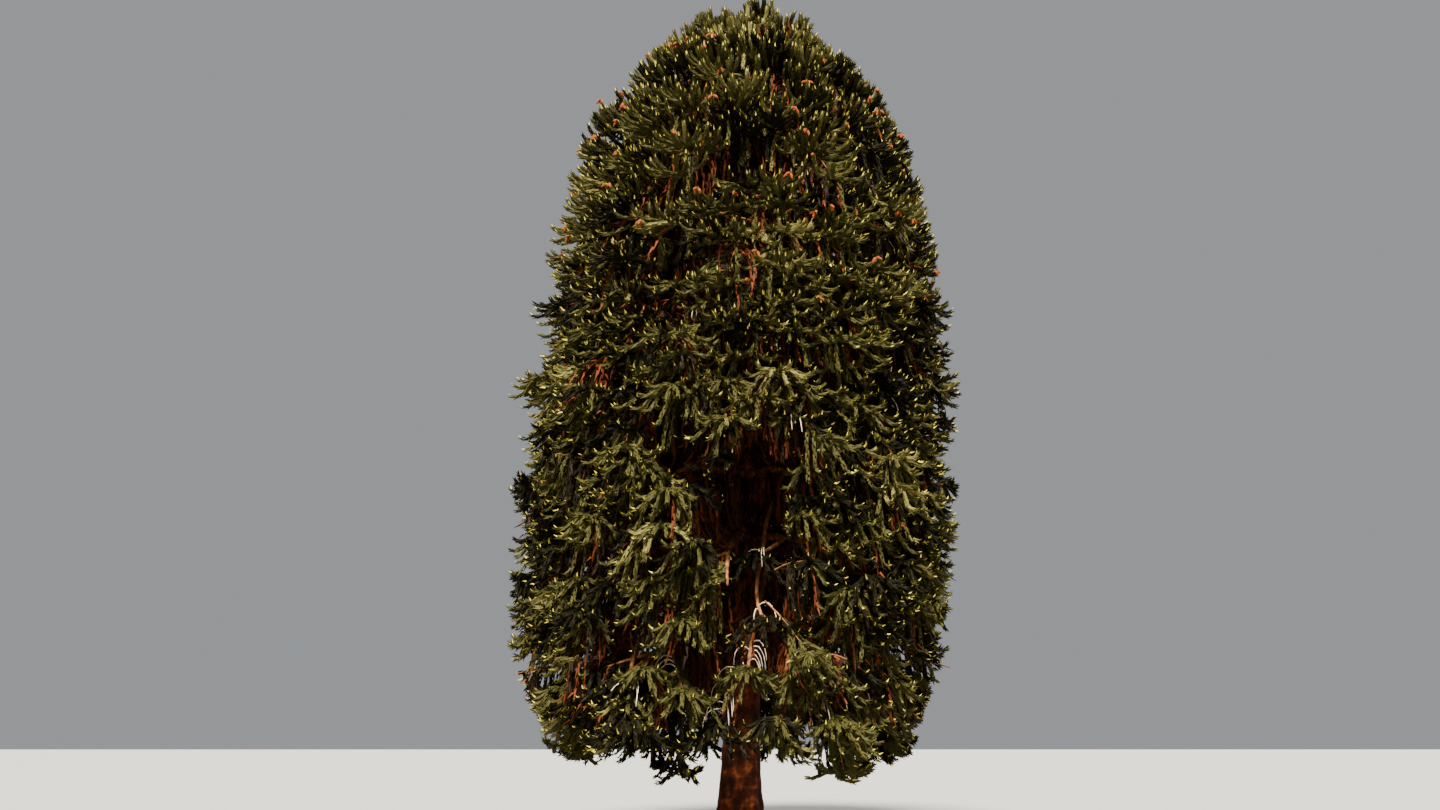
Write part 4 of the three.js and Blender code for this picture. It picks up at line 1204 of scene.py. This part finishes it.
class TREE_OT_foliage(bpy.types.Operator):
    """Grow the living shoots of every tier, clothed in sharp leaves, with bright new growth at the tips"""

    bl_idname = "puzzle_tree.foliage"
    bl_label = "Living shoots"

    def execute(self, context):
        sizes = context.scene.tree_sizes
        colours = context.scene.tree_colours
        shoots = all_shoots(sizes)
        shoots = chosen(shoots, shoots["kind"] == LIVING)
        if len(shoots["tier"]) < FEWEST_SHOOTS:
            raise RuntimeError(f"fewer than {FEWEST_SHOOTS} shoots found room")
        # Stiff leaves under a thin wax: almost black on old shoots, a dull olive on most, paler on young
        # ones, and yellow-green where they are this year's. More shoots high in the crown take the paler
        # green, as painted sunlight, and more that hang take the darker greens and lose their yellow-green
        # tips, as painted shade.
        materials = [
            leaf_material("Monkey puzzle leaf, old and in painted shade, waxy", colours.dark),
            leaf_material("Monkey puzzle leaf, waxy", colours.middle),
            leaf_material("Monkey puzzle leaf, young and in painted sunlight, waxy", colours.light),
            leaf_material("Monkey puzzle leaf, new growth", colours.tip),
        ]
        old, usual, young, new = range(len(materials))
        share = (np.arange(sizes.leaves) + 0.5) / sizes.leaves
        for index, tier in enumerate(TIERS):
            mine = chosen(shoots, shoots["tier"] == index)
            _, greenness, growth = mine["chance"]
            greenness = mix(mine["shade"], greenness, SHADE_CHANCE)
            # Painted light: the pale share grows towards the crown's top and shrinks on shoots that hang,
            # where shade falls.
            pale_until = YOUNG_SHARE + SUNLIT_MORE_AT_TOP * index / TOP_TIER
            pale_until = pale_until - PALE_LESS_IN_SHADE * mine["hang"]
            usual_until = pale_until + MIDDLE_SHARE
            # So the old green also serves as painted shade on hanging shoots, and the young green as painted
            # sunlight high up.
            green = np.where(greenness < pale_until, young, np.where(greenness < usual_until, usual, old))
            # Painted shade: hanging shoots more often lose their bright tips.
            dull = growth < DULL_TIPS + DULL_TIPS_IN_SHADE * mine["hang"]
            tips = np.where(dull, 0, np.where(growth > LONG_TIPS_FROM, TIP_SHARES[1], TIP_SHARES[0]))
            kinds = np.where(share[None] > 1 - tips[:, None], new, green[:, None])
            vertices, faces = leafy(mine, sizes.leaves, leaf_sizes(sizes))
            kinds = np.repeat(kinds.ravel(), 2)
            piece = put_mesh(f"{tier['name']}_leaves", vertices, faces, materials, kinds)
            ride(piece, node_names(tier["name"]))
        return {"FINISHED"}


class TREE_OT_dead_shoots(bpy.types.Operator):
    """Grow the dead shoots inside the crown, rust-brown with their leaves on, or bare and bleached"""

    bl_idname = "puzzle_tree.dead_shoots"
    bl_label = "Dead shoots"

    def execute(self, context):
        sizes = context.scene.tree_sizes
        colours = context.scene.tree_colours
        shoots = all_shoots(sizes)
        dead = chosen(shoots, shoots["kind"] == DEAD)
        # Dry leaves stay on for years, with no gloss left: rust-brown at first, then dark brown.
        rust = [leaf_material("Dead monkey puzzle leaf, dry", colours.dead, 0.8, 0.1),
                leaf_material("Dead monkey puzzle leaf, old and dry", colours.long_dead, 0.8, 0.1)]
        vertices, faces = leafy(dead, sizes.dead_leaves, leaf_sizes(sizes) * DEAD_LEAF)
        tint = np.repeat((dead["chance"][1] < LONG_DEAD_SHARE).astype(int), 2 * sizes.dead_leaves)
        ride(put_mesh("dead_shoot_leaves", vertices, faces, rust, tint))
        paths = chosen(shoots, shoots["kind"] == BARE)["path"][:, ::2]
        share = np.linspace(0, 1, paths.shape[1])
        radii = mix(*BARE_RADII, share)[None] * np.ones((len(paths), 1))
        vertices, faces = tubes(paths, radii, BARE_SIDES)
        # Dead wood without its bark, bleached by the sun: pale, dry and matt.
        pale = leaf_material("Bleached dead twig, bare wood", colours.bleached, 0.85, 0.1)
        ride(put_mesh("bare_twigs", vertices, faces, [pale], smooth=True))
        return {"FINISHED"}


class TREE_OT_cones(bpy.types.Operator):
    """Hang clusters of pollen cones at the tips of shoots in the upper crown"""

    bl_idname = "puzzle_tree.cones"
    bl_label = "Pollen cones"

    def execute(self, context):
        # A cone's radius is its profile's at each ring, and its scales stand out at every other corner.
        sizes = context.scene.tree_sizes
        shoots = all_shoots(sizes)
        tips = shoots["path"][:, -1]
        lowest, highest = CONE_HEIGHTS
        fit = (shoots["kind"] == LIVING) & (shoots["hang"] < CONE_HANG)
        fit &= (tips[:, 2] > lowest) & (tips[:, 2] < highest) & (crown_share(tips)[0] > CONES_OUTSIDE)
        fit &= shoots["chance"][1] < sizes.cone_share
        tips = np.repeat(tips[fit], CONES_EACH, axis=0)
        random = np.random.default_rng(CONE_SEED)
        heading = np.repeat(shoots["heading"][fit], CONES_EACH)
        heading = heading + np.radians(random.uniform(-CONE_TURN, CONE_TURN, len(tips)))
        slopes = np.radians(random.uniform(*CONE_SLOPES, (len(tips), 1)) + np.array([CONE_BEND]))
        long = random.uniform(*CONE_LENGTHS, len(tips)) * sizes.cone_length
        paths = shoot_paths(tips, heading, np.zeros(len(tips)), long, slopes)[:, ::2]
        count = len(CONE_PROFILE)
        ring = np.arange(count)
        scales = 1 + CONE_SCALES * (-1.0) ** (ring[:, None] + ring[None])
        profile = CONE_PROFILE * sizes.cone_width / 2
        radii = np.broadcast_to((profile[:, None] * scales)[None], (len(paths), count, count))
        vertices, faces = tubes(paths, radii, count)
        # Papery scales, russet, with hardly any gloss.
        russet = leaf_material("Pollen cone, papery scales", context.scene.tree_colours.cone, 0.75, 0.15)
        ride(put_mesh("pollen_cones", vertices, faces, [russet]))
        return {"FINISHED"}


def add_sun(name, strength, spread, tilt, turn, colour):
    """A soft light from far away, tilted from straight overhead and turned about the vertical."""
    light = bpy.data.lights.new(name, "SUN")
    light.energy = strength
    light.angle = math.radians(spread)
    light.color = colour
    sun = bpy.data.objects.new(name, light)
    sun.rotation_euler = (math.radians(tilt), 0, math.radians(turn))
    bpy.context.collection.objects.link(sun)


class TREE_OT_stage(bpy.types.Operator):
    """Set the pale floor, the soft light and the camera"""

    bl_idname = "puzzle_tree.stage"
    bl_label = "Floor, light and camera"

    def execute(self, context):
        stage = context.scene.tree_stage
        # A plain painted floor: pale and matt, so that it only takes the shadow.
        matt, shader = new_material("Studio floor, matt", 0.9, 0.2)
        shader.inputs["Base Color"].default_value = linear(stage.floor)
        corners = FLOOR_HALF * np.array([[-1, -1, 0], [1, -1, 0], [1, 1, 0], [-1, 1, 0]])
        put_mesh("stage_floor", corners, np.array([[0, 1, 2], [0, 2, 3]]), [matt])
        world = bpy.data.worlds.new("Soft surroundings")
        world.use_nodes = True
        background = world.node_tree.nodes["Background"]
        background.inputs["Color"].default_value = linear(SKY_COLOUR)
        background.inputs["Strength"].default_value = stage.sky
        context.scene.world = world
        add_sun("Key", stage.key, **KEY_LIGHT)
        add_sun("Fill", stage.fill, **FILL_LIGHT)
        camera_data = bpy.data.cameras.new("Camera")
        camera_data.lens = CAMERA_LENS
        camera_data.sensor_width = CAMERA_SENSOR
        camera_data.clip_end = CAMERA_CLIP
        camera = bpy.data.objects.new("Camera", camera_data)
        camera.location = (CAMERA_X, -stage.distance, stage.height)
        camera.rotation_euler = (math.pi / 2 + stage.pitch, 0, 0)
        context.collection.objects.link(camera)
        context.scene.camera = camera
        return {"FINISHED"}


class TREE_PT_sidebar(bpy.types.Panel):
    """Lists the tree's pieces, its sizes and its colours"""

    bl_label = "Monkey puzzle tree"
    bl_idname = "TREE_PT_sidebar"
    bl_space_type = "VIEW_3D"
    bl_region_type = "UI"
    bl_category = "Tree"

    def draw(self, context):
        layout = self.layout
        for operator in OPERATORS:
            layout.operator(operator.bl_idname)
        for group in (context.scene.tree_sizes, context.scene.tree_colours, context.scene.tree_stage):
            for name in group.__annotations__:
                layout.prop(group, name)


OPERATORS = (TREE_OT_trunk, TREE_OT_limbs, TREE_OT_foliage, TREE_OT_dead_shoots, TREE_OT_cones,
             TREE_OT_stage)
GROUPS = {"tree_sizes": TreeSizes, "tree_colours": TreeColours, "tree_stage": TreeStage}


def register():
    """Makes the groups, the operators and the panel known."""
    for group in GROUPS.values():
        bpy.utils.register_class(group)
    for name, group in GROUPS.items():
        setattr(bpy.types.Scene, name, bpy.props.PointerProperty(type=group))
    for operator in OPERATORS:
        bpy.utils.register_class(operator)
    bpy.utils.register_class(TREE_PT_sidebar)


def unregister():
    """Takes them all away again."""
    bpy.utils.unregister_class(TREE_PT_sidebar)
    for operator in reversed(OPERATORS):
        bpy.utils.unregister_class(operator)
    for name, group in GROUPS.items():
        delattr(bpy.types.Scene, name)
        bpy.utils.unregister_class(group)


def main():
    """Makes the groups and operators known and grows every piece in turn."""
    register()
    bpy.ops.puzzle_tree.trunk()
    bpy.ops.puzzle_tree.limbs()
    bpy.ops.puzzle_tree.foliage()
    bpy.ops.puzzle_tree.dead_shoots()
    bpy.ops.puzzle_tree.cones()
    bpy.ops.puzzle_tree.stage()


if __name__ == "__main__":
    main()
